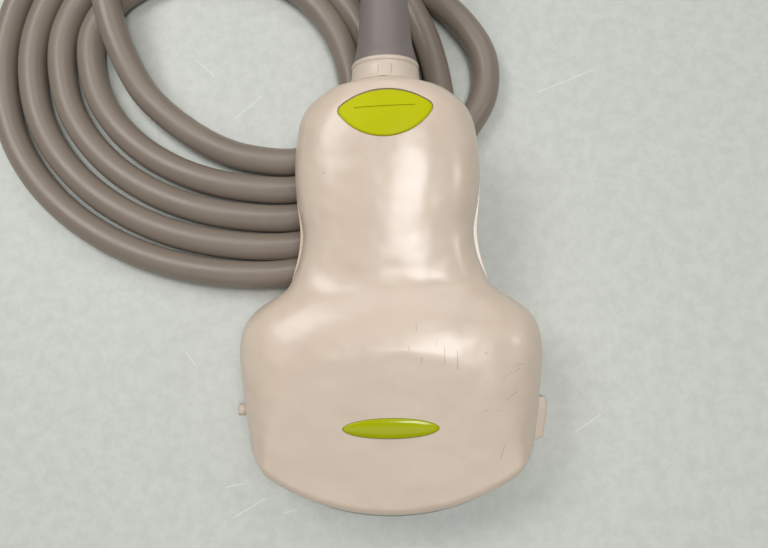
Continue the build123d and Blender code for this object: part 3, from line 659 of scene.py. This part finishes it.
def closed_body(name, points, faces):
    """An object made of points and faces, with its doubles merged and faces outward."""
    mesh = bpy.data.meshes.new(name)
    mesh.from_pydata([tuple(p) for p in points], [], faces)
    shape = bmesh.new()
    shape.from_mesh(mesh)
    bmesh.ops.remove_doubles(shape, verts=shape.verts, dist=touching)
    bmesh.ops.dissolve_degenerate(shape, dist=touching, edges=shape.edges)
    bmesh.ops.recalc_face_normals(shape, faces=shape.faces)
    shape.to_mesh(mesh)
    shape.free()
    made = bpy.data.objects.new(name, mesh)
    bpy.context.collection.objects.link(made)
    return made


print("helpers ready")

# %% [markdown]
# Both plates sit in shallow pockets that follow the skin. A pocket could be sculpted, but a
# boolean keeps its edge sharp: it is cut with a body whose floor is the skin moved in by
# the pocket's depth. The other openings are cut with plain prisms and bars.

# %% Helpers for bodies that cut the housing
badge_sink, plate_depth, plate_gap = 0.1, 0.8, 0.25
skins = {inset: sections(inset, waist_step) for inset in (0.0, badge_sink, plate_depth)}


def skin_height(x, y, inset):
    """Height of the front skin over the seam plane, moved in by inset."""
    steps = np.linspace(0, 1, 200)
    heights = []
    for px, py in zip(x, y):
        half_w, half_t, square = skins[inset](py)
        across, up = quadrant(square, steps)
        rim = np.interp(abs(px) / half_w, across[::-1], up[::-1]) * half_t
        flat = nose_thickness / 2 - inset / cos(tilt) + py * facet_slope
        heights.append(soft_lower(np.array(rim), np.array(flat)))
    return np.array(heights)


def box_prism(name, outline, low, high):
    """A closed prism over a plane outline, along z."""
    count = len(outline)
    points = [(x, y, low) for x, y in outline] + [(x, y, high) for x, y in outline]
    faces = [tuple(range(count)), tuple(range(count, 2 * count))]
    faces += [(i, (i + 1) % count, count + (i + 1) % count, count + i) for i in range(count)]
    return closed_body(name, points, faces)


def round_bar(name, radius, start, end, sides=64):
    """A closed round bar between two points."""
    start, end = Vector(start), Vector(end)
    turn = (end - start).to_track_quat("Z", "Y").to_matrix()
    steps = [tau * i / sides for i in range(sides)]
    ring = [turn @ (Vector((cos(step), sin(step), 0)) * radius) for step in steps]
    points = [start + p for p in ring] + [end + p for p in ring]
    faces = [tuple(range(sides)), tuple(range(sides, 2 * sides))]
    faces += [(i, (i + 1) % sides, sides + (i + 1) % sides, sides + i) for i in range(sides)]
    return closed_body(name, points, faces)


def arc_slab(name, inner, outer, half_chord, half_height):
    """A closed slab between two arcs about the array's centre."""
    outline = []
    for radius, order in ((outer, 1), (inner, -1)):
        reach = asin(half_chord / radius)
        angles = np.linspace(-reach, reach, 121)[::order]
        outline += [(radius * sin(a), lens_radius - radius * cos(a)) for a in angles]
    return box_prism(name, outline, -half_height, half_height)


print("pockets", plate_depth, "mm deep")

# %% [markdown]
# The badge is a lime plate between two arcs with rounded tips, and the marker is a glossy
# oval that bulges. Flat curves with a Solidify modifier would lie off the curved skin.
# Each plate is a closed disc of rings instead, so that its edge can be rounded and its
# face slightly domed, and the same disc, a little wider, cuts its pocket.

# %% The badge, the marker and their pockets
# the badge: half its width, its rise and drop from its middle, and the round of its tips
badge_half, badge_rise, badge_drop, badge_round = 11.35, 4.0, 6.9, 1.5
badge_y, badge_turn = housing_length - 7.7, radians(1.6)
# how much its face swells, the round of its edge, and about the way from middle to edge
badge_crown, badge_edge_round, badge_reach = 0.08, 0.35, 4.5
# the marker: its middle, half its width and half its height
oval_y, oval_half, oval_tall = 21.9, 10.8, 2.35
# its rim over the facet, the height of its dome, and the power that shapes the dome
oval_rim, oval_dome, oval_fullness = 0.06, 0.62, 2.2
# room round the marker in its pocket, how much smaller it is drawn, room under the badge
oval_gap, oval_shrink, floor_gap = 0.08, 0.02, 0.02
# how far a cutting body stands over the skin, and points round each outline
knife_height, outline_points = 6.0, 240


def badge_edge(angles, grow):
    """Distance from the badge's middle to its outline in each direction."""
    half, rise, drop = badge_half + grow, badge_rise + grow, badge_drop + grow
    tip_round = badge_round + grow
    upper, lower = (half**2 + rise**2) / (2 * rise), (half**2 + drop**2) / (2 * drop)
    middles = np.array([(0, rise - upper), (0, lower - drop)])
    radii = np.array([upper - tip_round, lower - tip_round])
    # the sharp tips of the outline before its rounding
    apart = middles[1, 1] - middles[0, 1]
    along = (apart**2 + radii[0] ** 2 - radii[1] ** 2) / (2 * apart)
    tip = np.array([sqrt(radii[0] ** 2 - along**2), middles[0, 1] + along])
    normals = [(tip - m) / r for m, r in zip(middles, radii)]
    basis = np.linalg.inv(np.array(normals).T)
    found = []
    for angle in angles:
        low, high = 0.0, half + 2
        for _ in range(halvings):
            reach = (low + high) / 2
            point = np.array([abs(cos(angle)), sin(angle)]) * reach
            shares = basis @ (point - tip)
            if (shares > 0).all():
                away = np.hypot(*(point - tip))
            else:
                away = max(np.hypot(*(point - m)) - r for m, r in zip(middles, radii))
            low, high = (reach, high) if away < tip_round else (low, reach)
        found.append((low + high) / 2)
    return np.array(found)


def disc(name, edge_points, middle, top, floor):
    """A closed disc of rings; top gives a height from x, y and the ring's share."""
    # the rings lie closer in the last tenth, where the edge is rounded
    near_edge = 1 - 0.1 * np.cos(np.linspace(0, pi / 2, 9)[1:])
    shares = np.concatenate([np.linspace(0.12, 0.9, 12), near_edge])
    shares[-1] = 1.0
    count, rings = len(edge_points), 2 * len(shares)
    points = []
    for share in shares:
        ring = middle + (edge_points - middle) * share
        z = top(ring[:, 0], ring[:, 1], share)
        points += [(x, y, h) for (x, y), h in zip(ring, z)]
    # the lower side has the same rings on its floor, from the edge inwards
    for share in shares[::-1]:
        ring = middle + (edge_points - middle) * share
        z = floor(ring[:, 0], ring[:, 1])
        points += [(x, y, h) for (x, y), h in zip(ring, z)]
    faces = []
    for ring in range(rings - 1):
        here, there = ring * count, (ring + 1) * count
        for k in range(count):
            after = (k + 1) % count
            faces.append((here + k, here + after, there + after, there + k))
    faces.append(tuple(range(count)))
    faces.append(tuple(range((rings - 1) * count, rings * count)))
    return closed_body(name, points, faces)


angles = np.linspace(0, tau, outline_points + 1)[:-1]


def badge_outline(grow):
    reach = badge_edge(angles, grow)
    x = reach * np.cos(angles + badge_turn)
    y = badge_y + reach * np.sin(angles + badge_turn)
    return np.stack([x, y], axis=1)


def oval_outline(grow):
    x = (oval_half + grow) * np.cos(angles)
    y = oval_y + (oval_tall + grow) * np.sin(angles)
    return np.stack([x, y], axis=1)


def over_skin(inset, extra=0.0):
    """A height for discs: the skin moved in by inset, and something added."""
    return lambda x, y, share=None: skin_height(x, y, inset) + extra


def badge_top(x, y, share):
    crown = skin_height(x, y, badge_sink) + badge_crown * (1 - share**2)
    return crown - round_off((1 - share) * badge_reach, badge_edge_round)


def oval_top(x, y, share):
    dome = oval_dome * np.sqrt(max(1 - share**oval_fullness, 0))
    return nose_thickness / 2 + y * facet_slope + oval_rim + dome


def oval_floor(x, y, share=None):
    return nose_thickness / 2 + y * facet_slope - plate_depth


badge_middle, oval_middle = np.array([0.0, badge_y]), np.array([0.0, oval_y])
knife_top, pocket_floor = over_skin(0.0, knife_height), over_skin(plate_depth)
plate_floor = over_skin(plate_depth, floor_gap)
name_plate = disc("name_plate_form", badge_outline(0.0), badge_middle, badge_top, plate_floor)
marker = disc("marker_form", oval_outline(-oval_shrink), oval_middle, oval_top, oval_floor)
badge_rim, oval_pocket_rim = badge_outline(plate_gap), oval_outline(oval_gap)
badge_cut = disc("badge_pocket", badge_rim, badge_middle, knife_top, pocket_floor)
oval_cut = disc("oval_pocket", oval_pocket_rim, oval_middle, knife_top, oval_floor)
print("plates", len(name_plate.data.polygons), len(marker.data.polygons))

# %% [markdown]
# A thin line divides the badge. A darker stripe in its finish would look printed, so the
# line is a groove, and it is cut with a strip that follows the badge's face.

# %% Strip that cuts the badge's line


def groove_strip(name, start, end, width, depth):
    """A closed strip that follows the badge's face, to cut a thin line in it."""
    start, end = np.array(start), np.array(end)
    points, faces, count, strip_height = [], [], 41, 2
    for share in np.linspace(0, 1, count):
        x, y = start + (end - start) * share
        low = float(skin_height([x], [y], badge_sink)[0]) - depth
        high = low + strip_height
        points += [(x, y - width / 2, low), (x, y + width / 2, low)]
        points += [(x, y + width / 2, high), (x, y - width / 2, high)]
    for i in range(count - 1):
        for k in range(4):
            here, after = 4 * i + k, 4 * i + (k + 1) % 4
            faces.append((here, after, after + 4, here + 4))
    faces += [(0, 1, 2, 3), tuple(range(4 * count - 4, 4 * count))]
    return closed_body(name, points, faces)


line_start, line_end = (-7.1, badge_y - 0.25), (6.8, badge_y + 0.14)
line_cut = groove_strip("divider", line_start, line_end, width=0.28, depth=0.22)
print("strip", len(line_cut.data.polygons), "faces")

# %% [markdown]
# The real shells are moulded, and their openings come from the mould: the cavity, the
# window for the lens, the bore for the cord, the hole for the guide peg and the two
# pockets. A wall with holes could be drawn face by face, but booleans between closed
# bodies do it for both shells with one loop. The Exact solver is slower than the others,
# and it copes with faces that nearly touch. A small fin stands on the rear shell, at the
# right of the head, and is joined to it first.

# %% The two shells are cut
cavity_end = housing_length - 2 * wall
peg_y = 0.455 * head_length
fin_outline = [(33.6, 15.4), (36.4, 16.7), (37.6, 23.6), (37.34, 26.5), (33.6, 26.5)]
fin_low, fin_high, fin_round = -3.2, -0.05, 0.45
window = {"inner": 46.6, "outer": 55.0, "half_chord": 29.55, "half_height": 7.75}
bore_radius, bore_spare = 6.0, 5
peg_radius, peg_outside, peg_inside = 1.1, -34 - wall - 5, -30


def cut(body, cutter, operation="DIFFERENCE"):
    """Cuts one closed body with another, and keeps the result as its mesh."""
    knife = body.modifiers.new("cut", "BOOLEAN")
    knife.object = cutter
    knife.operation = operation
    knife.solver = "EXACT"
    bpy.context.view_layer.update()
    seen = bpy.context.evaluated_depsgraph_get()
    mesh = bpy.data.meshes.new_from_object(body.evaluated_get(seen))
    body.modifiers.clear()
    body.data = mesh


fin = box_prism("fin", fin_outline, fin_low, fin_high)
soften = bmesh.new()
soften.from_mesh(fin.data)
bmesh.ops.bevel(
    soften,
    geom=soften.edges,
    offset=fin_round,
    segments=4,
    profile=0.5,
    affect="EDGES",
    clamp_overlap=True,
)
soften.to_mesh(fin.data)
soften.free()
cut(name_plate, line_cut)
halves, spares = {}, [fin, badge_cut, oval_cut, line_cut]
bore_ends = (0, cavity_end - bore_spare, 0), (0, housing_length + bore_spare, 0)
for name, side in (("front_shell", 1), ("rear_shell", -1)):
    step = waist_step if side > 0 else 0.0
    body = closed_half(name + "_form", half_skin(0.0, step, housing_length, True), side)
    cavity = half_skin(wall, waist_step, cavity_end, False)
    cutters = [
        closed_half("cavity", cavity, side, -1.0),
        arc_slab("window", **window),
        round_bar("neck_bore", bore_radius, *bore_ends),
        round_bar("peg_hole", peg_radius, (peg_outside, peg_y, 0), (peg_inside, peg_y, 0), 32),
    ]
    spares += cutters
    if side > 0:
        cutters += [badge_cut, oval_cut]
    else:
        cut(body, fin, "UNION")
    for cutter in cutters:
        cut(body, cutter)
    halves[name] = body
    print(name, len(body.data.polygons), "faces")

# %% [markdown]
# The drawn pieces are in the probe's own axes. Each is turned by the probe's tilt on the
# table and put in its place, with its points moved and its object left at the origin.

# %% The drawn pieces take their places
own_to_frame = (
    Matrix.Scale(mm, 4)
    @ Matrix.Translation((-own_middle[0], -own_middle[1], rest_height))
    @ Matrix.Rotation(tilt, 4, "X")
)


def smooth_faces(made, edge_angle):
    """Smooth shading, kept sharp where two faces meet at more than an angle."""
    mesh = made.data
    mesh.polygons.foreach_set("use_smooth", [True] * len(mesh.polygons))
    mesh.set_sharp_from_angle(angle=radians(edge_angle))
    even = made.modifiers.new("even_shading", "WEIGHTED_NORMAL")
    even.keep_sharp = True
    even.weight = 50


def stand_for(made, *nodes, edge_angle=30.0):
    """Dresses a piece in the frame, which stands for one or more solids."""
    made.name = nodes[0] + "_drawn"
    made.data.name = made.name
    made.data.materials.clear()
    made.data.materials.append(finishes[slot_of[nodes[0]]])
    smooth_faces(made, edge_angle)
    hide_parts(*nodes)
    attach(made, "probe")


def from_own_axes(made):
    made.data.transform(own_to_frame)
    return made


for name in ("front_shell", "rear_shell"):
    stand_for(from_own_axes(halves[name]), name)
stand_for(from_own_axes(name_plate), "name_plate")
stand_for(from_own_axes(marker), "marker_plate")
for spare in spares:
    bpy.data.objects.remove(spare)
print("placed", len(halves) + 2, "pieces")

# %% [markdown]
# The collar behind the grip is turned: it flares where it meets the shells, narrows, and
# ends in a thin groove and a rounded bead. A Screw modifier could spin its profile, but it
# leaves a seam to merge, so its points are computed round the axis. A small tab stands on
# the collar and is joined on.

# %% Collar turned from its profile
# distance behind the housing's end and radius (mm), outside and then inside
collar_profile = [
    (0.04, 8.8), (0.3, 8.72), (0.7, 8.56), (1.2, 8.42), (1.9, 8.3), (2.6, 8.22),
    (3.3, 8.18), (3.72, 8.14), (3.84, 7.98), (4.0, 7.92), (4.16, 7.98), (4.28, 8.14),
    (4.5, 8.24), (4.75, 8.26), (5.0, 8.2), (5.2, 8.06), (5.34, 7.9), (5.4, 7.72),
    (3.4, 7.72), (3.4, 6.0), (0.04, 6.0),
]


def turned(name, profile, start, sides=128):
    """A closed body turned about the probe's long axis from a closed profile."""
    points = [
        (radius * cos(tau * i / sides), start + along, radius * sin(tau * i / sides))
        for i in range(sides)
        for along, radius in profile
    ]
    count, faces = len(profile), []
    for i in range(sides):
        here, there = i * count, (i + 1) % sides * count
        for k in range(count):
            after = (k + 1) % count
            faces.append((here + k, here + after, there + after, there + k))
    return closed_body(name, points, faces)


collar = turned("collar", collar_profile, housing_length)
tab_section = [(-1.55, 7.9), (-1.4, 8.75), (-0.9, 9.0), (0.2, 8.95), (1.5, 8.6), (1.6, 7.9)]
tab_start, tab_end = 0.1, 3.1
tab = box_prism("tab", tab_section, -housing_length - tab_end, -housing_length - tab_start)
tab.data.transform(Matrix.Rotation(pi / 2, 4, "X"))
cut(collar, tab, "UNION")
stand_for(from_own_axes(collar), "neck_collar", edge_angle=50.0)
bpy.data.objects.remove(tab)
print("collar", len(collar.data.polygons), "faces")

# %% [markdown]
# The strain relief, the lens and the peg keep the shape of their solids and only need
# smooth shading. It could be set on the solids, but their triangles are loose, so nothing
# would flow from one to the next. Each is copied, its triangles are welded, and its faces
# are smoothed except where two of them meet at a real edge.

# %% Smooth copies of solids


def smooth_copy(name, edge_angle=28.0):
    """A welded, smooth-shaded copy of a solid, which stands for it."""
    mesh = cad_nodes[name].data.copy()
    shape = bmesh.new()
    shape.from_mesh(mesh)
    bmesh.ops.remove_doubles(shape, verts=shape.verts, dist=2e-6)
    shape.to_mesh(mesh)
    shape.free()
    made = bpy.data.objects.new(name, mesh)
    bpy.context.collection.objects.link(made)
    stand_for(made, name, edge_angle=edge_angle)
    return made


for name in ("strain_relief", "acoustic_lens", "guide_peg"):
    made = smooth_copy(name)
    print(name, len(made.data.polygons), "faces")

# %% [markdown]
# ## Repeated pieces of the plug
# The plug for the scanner has eighty equal contact pads in four rows, and four equal
# screws. An Array modifier repeats along one line at a time. Geometry Nodes set one pad or
# one screw on each point of a grid at once, and the tree's inputs are its sizes, so
# another count or pitch is one number.

# %% Helpers for Geometry Nodes


def new_tree(name, inputs):
    """A geometry tree with named number inputs; returns it with its input and output."""
    tree = bpy.data.node_groups.new(name, "GeometryNodeTree")
    tree.interface.new_socket("Geometry", in_out="INPUT", socket_type="NodeSocketGeometry")
    for label, kind in inputs:
        tree.interface.new_socket(label, in_out="INPUT", socket_type=kind)
    tree.interface.new_socket("Geometry", in_out="OUTPUT", socket_type="NodeSocketGeometry")
    return tree, tree.nodes.new("NodeGroupInput"), tree.nodes.new("NodeGroupOutput")


def spread(tree, points, shape, finish, out):
    """Puts a shape on each point, makes it real and dresses it."""
    placed = add_node(tree, "GeometryNodeInstanceOnPoints", Points=points, Instance=shape)
    instances = placed.outputs["Instances"]
    real = add_node(tree, "GeometryNodeRealizeInstances", Geometry=instances).outputs["Geometry"]
    dressed = add_node(tree, "GeometryNodeSetMaterial", Geometry=real, Material=finish)
    join(tree, dressed.outputs["Geometry"], out.inputs["Geometry"])


def size_vector(tree, x, y, z):
    """A vector from three sockets or numbers."""
    return add_node(tree, "ShaderNodeCombineXYZ", X=x, Y=y, Z=z).outputs[0]


def shifted(tree, shape, shift, turn=(0.0, 0.0, 0.0)):
    """A shape that is turned and then moved."""
    node = add_node(
        tree, "GeometryNodeTransform", Geometry=shape, Translation=shift, Rotation=turn
    )
    return node.outputs["Geometry"]


def grow(name, tree, values, place):
    """Runs a tree on an empty mesh and keeps the result as a plain mesh at a place."""
    seed = bpy.data.objects.new(name, bpy.data.meshes.new(name))
    bpy.context.collection.objects.link(seed)
    step = seed.modifiers.new("rule", "NODES")
    step.node_group = tree
    for item in tree.interface.items_tree:
        if item.in_out == "INPUT" and item.name in values:
            step[item.identifier] = values[item.name]
    bpy.context.view_layer.update()
    seen = bpy.context.evaluated_depsgraph_get()
    mesh = bpy.data.meshes.new_from_object(seed.evaluated_get(seen))
    seed.modifiers.clear()
    seed.data = mesh
    mesh.transform(Matrix.Translation(place))
    return seed


def middle_and_size(name):
    """Middle and size of a solid of the frame."""
    points = [Vector(p) for p in cad_nodes[name].bound_box]
    low = Vector([min(p[k] for p in points) for k in range(3)])
    high = Vector([max(p[k] for p in points) for k in range(3)])
    return (low + high) / 2, high - low


print("helpers ready")

# %% [markdown]
# The pads lie on the mating face of the plug's contact block, in two groups with the lock's
# shaft between them. Each group is a grid of points, two high, and each point carries a
# thin gold bar. One pad could be copied by hand, but then a change of pitch would mean
# moving all eighty.

# %% Contact pads by rule
pad_sizes = {
    "Pitch": 1.25 * mm,
    "Row Gap": 10.8 * mm,
    "Inner Gap": 9.0 * mm,
    "Pad Width": 0.7 * mm,
    "Pad Height": 3.2 * mm,
    "Pad Stand": 0.3 * mm,
}
pads_tree, pads_in, pads_out = new_tree(
    "contact_pads", [("Count", "NodeSocketInt"), *((label, float_kind) for label in pad_sizes)]
)
pads = pads_in.outputs
gaps = math_node(pads_tree, "SUBTRACT", pads["Count"], 1.0)
row_length = math_node(pads_tree, "MULTIPLY", gaps, pads["Pitch"])
row_grid = add_node(
    pads_tree,
    "GeometryNodeMeshGrid",
    Size_X=row_length,
    Size_Y=pads["Row Gap"],
    Vertices_X=pads["Count"],
    Vertices_Y=2,
)
half_row = math_node(pads_tree, "MULTIPLY", row_length, 0.5)
row_middle = math_node(pads_tree, "ADD", half_row, pads["Inner Gap"])
both_sides = pads_tree.nodes.new("GeometryNodeJoinGeometry")
for side in (1.0, -1.0):
    across = math_node(pads_tree, "MULTIPLY", row_middle, side)
    shift = size_vector(pads_tree, across, 0.0, 0.0)
    group = shifted(pads_tree, row_grid.outputs["Mesh"], shift, turn=(pi / 2, 0.0, 0.0))
    join(pads_tree, group, both_sides.inputs["Geometry"])
pad_size = size_vector(pads_tree, pads["Pad Width"], pads["Pad Stand"], pads["Pad Height"])
pad = add_node(pads_tree, "GeometryNodeMeshCube", Size=pad_size).outputs["Mesh"]
spread(pads_tree, both_sides.outputs["Geometry"], pad, finishes["contact_gold"], pads_out)
pads_middle, pads_size = middle_and_size("contacts")
contacts = grow("contact_pads", pads_tree, {"Count": 20, **pad_sizes}, pads_middle)
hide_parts("contacts")
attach(contacts, "probe")
print("contact pads", len(contacts.data.polygons) // 6)
print("size of the CAD pads", [round(v / mm, 2) for v in pads_size])

# %% [markdown]
# Four slotted screws hold the two halves of the plug's case. A screw is a head and a shank
# joined into one bar, with a slot cut in the head. Two booleans inside the tree do this
# once, before the screw is set on the four corners of a rectangle, which is quicker than
# cutting four screws.

# %% Plug screws by rule
screws_middle, screws_size = middle_and_size("plug_screws")
screw_head = 5.4 * mm
screw_sizes = {
    "Apart X": screws_size.x - screw_head,
    "Apart Y": screws_size.y - screw_head,
    "Height": screws_size.z,
    "Head Radius": screw_head / 2,
    "Head Height": 2.3 * mm,
    "Shank Radius": 1.5 * mm,
}
screws_tree, screws_in, screws_out = new_tree(
    "plug_screws", [(label, float_kind) for label in screw_sizes]
)
screw = screws_in.outputs
corners = add_node(
    screws_tree,
    "GeometryNodeMeshGrid",
    Size_X=screw["Apart X"],
    Size_Y=screw["Apart Y"],
    Vertices_X=2,
    Vertices_Y=2,
)


def share_of(label, share, extra=0.0):
    """A share of one of the screw's sizes, and something added."""
    return math_node(screws_tree, "MULTIPLY_ADD", screw[label], share, extra)


def raised(shape, height):
    return shifted(screws_tree, shape, size_vector(screws_tree, 0.0, 0.0, height))


def bar_node(radius, depth, height, sides):
    """A round bar in the screws' tree, moved up to a height."""
    bar = add_node(
        screws_tree, "GeometryNodeMeshCylinder", Vertices=sides, Radius=radius, Depth=depth
    )
    return raised(bar.outputs["Mesh"], height)


# the shank reaches a fifth of the way into the head, so the two bars overlap
left_free = 0.8
half_height = share_of("Height", 0.5)
head_middle = share_of("Head Height", -0.5, half_height)
head = bar_node(screw["Head Radius"], screw["Head Height"], head_middle, 64)
shank_length = share_of("Head Height", -left_free, screw["Height"])
shank_middle = share_of("Head Height", -left_free / 2)
shank = bar_node(screw["Shank Radius"], shank_length, shank_middle, 32)
whole_screw = screws_tree.nodes.new("GeometryNodeMeshBoolean")
whole_screw.operation = "UNION"
join(screws_tree, head, whole_screw.inputs["Mesh 2"])
join(screws_tree, shank, whole_screw.inputs["Mesh 2"])
slot_length, slot_width = share_of("Head Radius", 1.5), share_of("Shank Radius", 0.5)
slot_size = size_vector(screws_tree, slot_length, slot_width, screw["Head Height"])
slot_bar = add_node(screws_tree, "GeometryNodeMeshCube", Size=slot_size)
slotted = screws_tree.nodes.new("GeometryNodeMeshBoolean")
slotted.operation = "DIFFERENCE"
join(screws_tree, whole_screw.outputs["Mesh"], slotted.inputs["Mesh 1"])
join(screws_tree, raised(slot_bar.outputs["Mesh"], half_height), slotted.inputs["Mesh 2"])
steel = finishes[slot_of["plug_screws"]]
spread(screws_tree, corners.outputs["Mesh"], slotted.outputs["Mesh"], steel, screws_out)
plug_screws = grow("plug_screws_set", screws_tree, screw_sizes, screws_middle)
stand_for(plug_screws, "plug_screws")
print("screws", len(plug_screws.data.polygons), "faces")

# %% [markdown]
# ## The cord
# The cord leaves the boot, falls behind the probe on to its own coil, crosses it, and winds
# out in five flat turns that pass under the grip. The picture shows arcs of these turns on
# the left and the right. A physics run could lay a cord down, but it wouldn't fall as in
# the picture, so its route is given by points. Each turn is four quarter ovals between its
# outermost points.

# %% Route of the cord
cord_thick = 7.6 * mm
cord_half = cord_thick / mm / 2
steps_per_quarter = 4
# from the boot to the coil (mm)
lead_points = [
    (-0.25, 76.01, 33.65),
    (-0.25, 93.77, 36.58),
    (-7.6, 112.8, 31.5),
    (-24.6, 125.3, 23),
    (-45.6, 125.8, 15),
    (-64.6, 115.3, 12.4),
    (-76.6, 97.8, 12),
    (-80.6, 77.8, 12),
    (-79.1, 60.8, 11.5),
    (-74.1, 44.8, 8),
]
# left, bottom, right and top of each turn (mm)
coil_turns = [
    ((-76.6, 62.8), (-29.1, 14), (-9.1, 32.8), (-50.6, 76.8)),
    ((-86.6, 50.3), (-29.1, 5.8), (-1, 31.2), (-55.6, 85.8)),
    ((-95.1, 48.8), (-30.6, -2.3), (7.4, 29.8), (-60.1, 94.8)),
    ((-103.6, 46.8), (-32.1, -10.3), (16, 29.4), (-65.1, 103.8)),
    ((-112.1, 45.8), (-34.1, -18.2), (27.6, 41), (-68.6, 112.8)),
]
# from the coil to the plug (mm)
tail_points = [
    (-77.6, 113.2, 3.8),
    (-93.6, 118.8, 4),
    (-104.6, 132.8, 4.4),
    (-108.1, 149.8, 6.6),
    (-106, 170, 10),
    (-106, 182, 10),
]
# where the lead lands on the coil, in place of the coil's first three points
landing = (-66.6, 31.8, 5.2)
# the outermost turn bends in sharply behind the grip, on its way to the tail
sharp_bend = [
    (19.5, 21.0),
    (27.0, 31.5),
    (28.0, 43.5),
    (22.5, 54.5),
    (11.5, 66.0),
    (-6.0, 82.0),
    (-32.0, 99.0),
]
outermost = [point for turn in coil_turns for point in turn]
coil_points = []
for index, ((x0, y0), (x1, y1)) in enumerate(zip(outermost, outermost[1:])):
    for step in range(steps_per_quarter):
        angle = pi / 2 * step / steps_per_quarter
        if index % 2 == 0:
            point = (x1 + (x0 - x1) * cos(angle), y0 + (y1 - y0) * sin(angle))
        else:
            point = (x0 + (x1 - x0) * sin(angle), y1 + (y0 - y1) * cos(angle))
        coil_points.append((*point, cord_half))
coil_points = [landing, *coil_points[3:-5]]
coil_points += [(*point, cord_half) for point in (*sharp_bend, outermost[-1])]
route = lead_points + coil_points + tail_points
print(len(route), "points on the cord's route")

# %% [markdown]
# A tube could be swept along the route as a mesh, but a curve with a round bevel keeps one
# thickness along its whole length, and is bent by moving one point. It stands for the
# three solids of the cord.

# %% The cord as one curve
cord_curve = bpy.data.curves.new("cord", "CURVE")
cord_curve.dimensions = "3D"
cord_curve.bevel_depth = cord_thick / 2
cord_curve.bevel_resolution = 7
cord_curve.use_fill_caps = True
cord_curve.resolution_u = 10
line = cord_curve.splines.new("NURBS")
line.points.add(len(route) - 1)
for knot, (x, y, z) in zip(line.points, route):
    knot.co = (x * mm, y * mm, z * mm, 1.0)
line.order_u = 3
line.use_endpoint_u = True
cord = bpy.data.objects.new("cord", cord_curve)
bpy.context.collection.objects.link(cord)
cord_curve.materials.append(finishes["cord_grey"])
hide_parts("cord_run", "cord_coil", "cord_tail")
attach(cord, "probe")
cord_length = line.calc_length()
print("cord length", round(cord_length, 3))

# %% [markdown]
# ## The table
# The surface is a pale greenish grey sheet with a dull shine and a few pale scratches. It
# isn't part of the object. A box would do too, but only its top would be seen, and a flat
# disc catches the soft shadows of the head and the cord just as well. The scratches use
# the same group as those on the housing.

# %% Table
table_colour, table_pale = screen_colour(202, 205, 198), screen_colour(211, 214, 207)
mark_pale = screen_colour(236, 240, 234)
table_finish, tree, shader, place = new_material("table", table_colour, 0.55)
mottle = add_node(
    tree, "ShaderNodeTexNoise", Vector=place, Scale=260.0, Detail=5.0, Roughness=0.75
)
mottle_share = ramp(tree, mottle.outputs["Fac"], low=0.35, high=0.65)
tone = mix_colours(tree, mottle_share, table_colour, table_pale)

# start and end of pale scratches on the table (mm), and width (mm)
table_marks = [
    ((-41.5, -79.4), (-33.4, -74.8), 0.3),
    ((-28.4, -78.3), (-25.3, -77.6), 0.3),
    ((-43.6, -71.8), (-39.2, -71.1), 0.3),
    ((42.7, 35.3), (58.4, 41.6), 0.3),
    ((46.8, -59.0), (53.5, -54.8), 0.3),
    ((-56.3, 48.3), (-50.8, 43.0), 0.3),
    ((-43.9, 29.8), (-36.6, 36.4), 0.3),
    ((-52.7, -40.7), (-55.5, -36.9), 0.3),
]
mark_share = math_node(tree, "MULTIPLY", scratched(tree, place, table_marks), 0.5)
table_tone = mix_colours(tree, mark_share, tone, mark_pale)
join(tree, table_tone, shader.inputs["Base Color"])
bpy.ops.mesh.primitive_circle_add(vertices=96, radius=4.0, fill_type="NGON", location=(0, 0, 0))
table = bpy.context.object
table.name = "table"
table.data.materials.append(table_finish)
print("table ready")
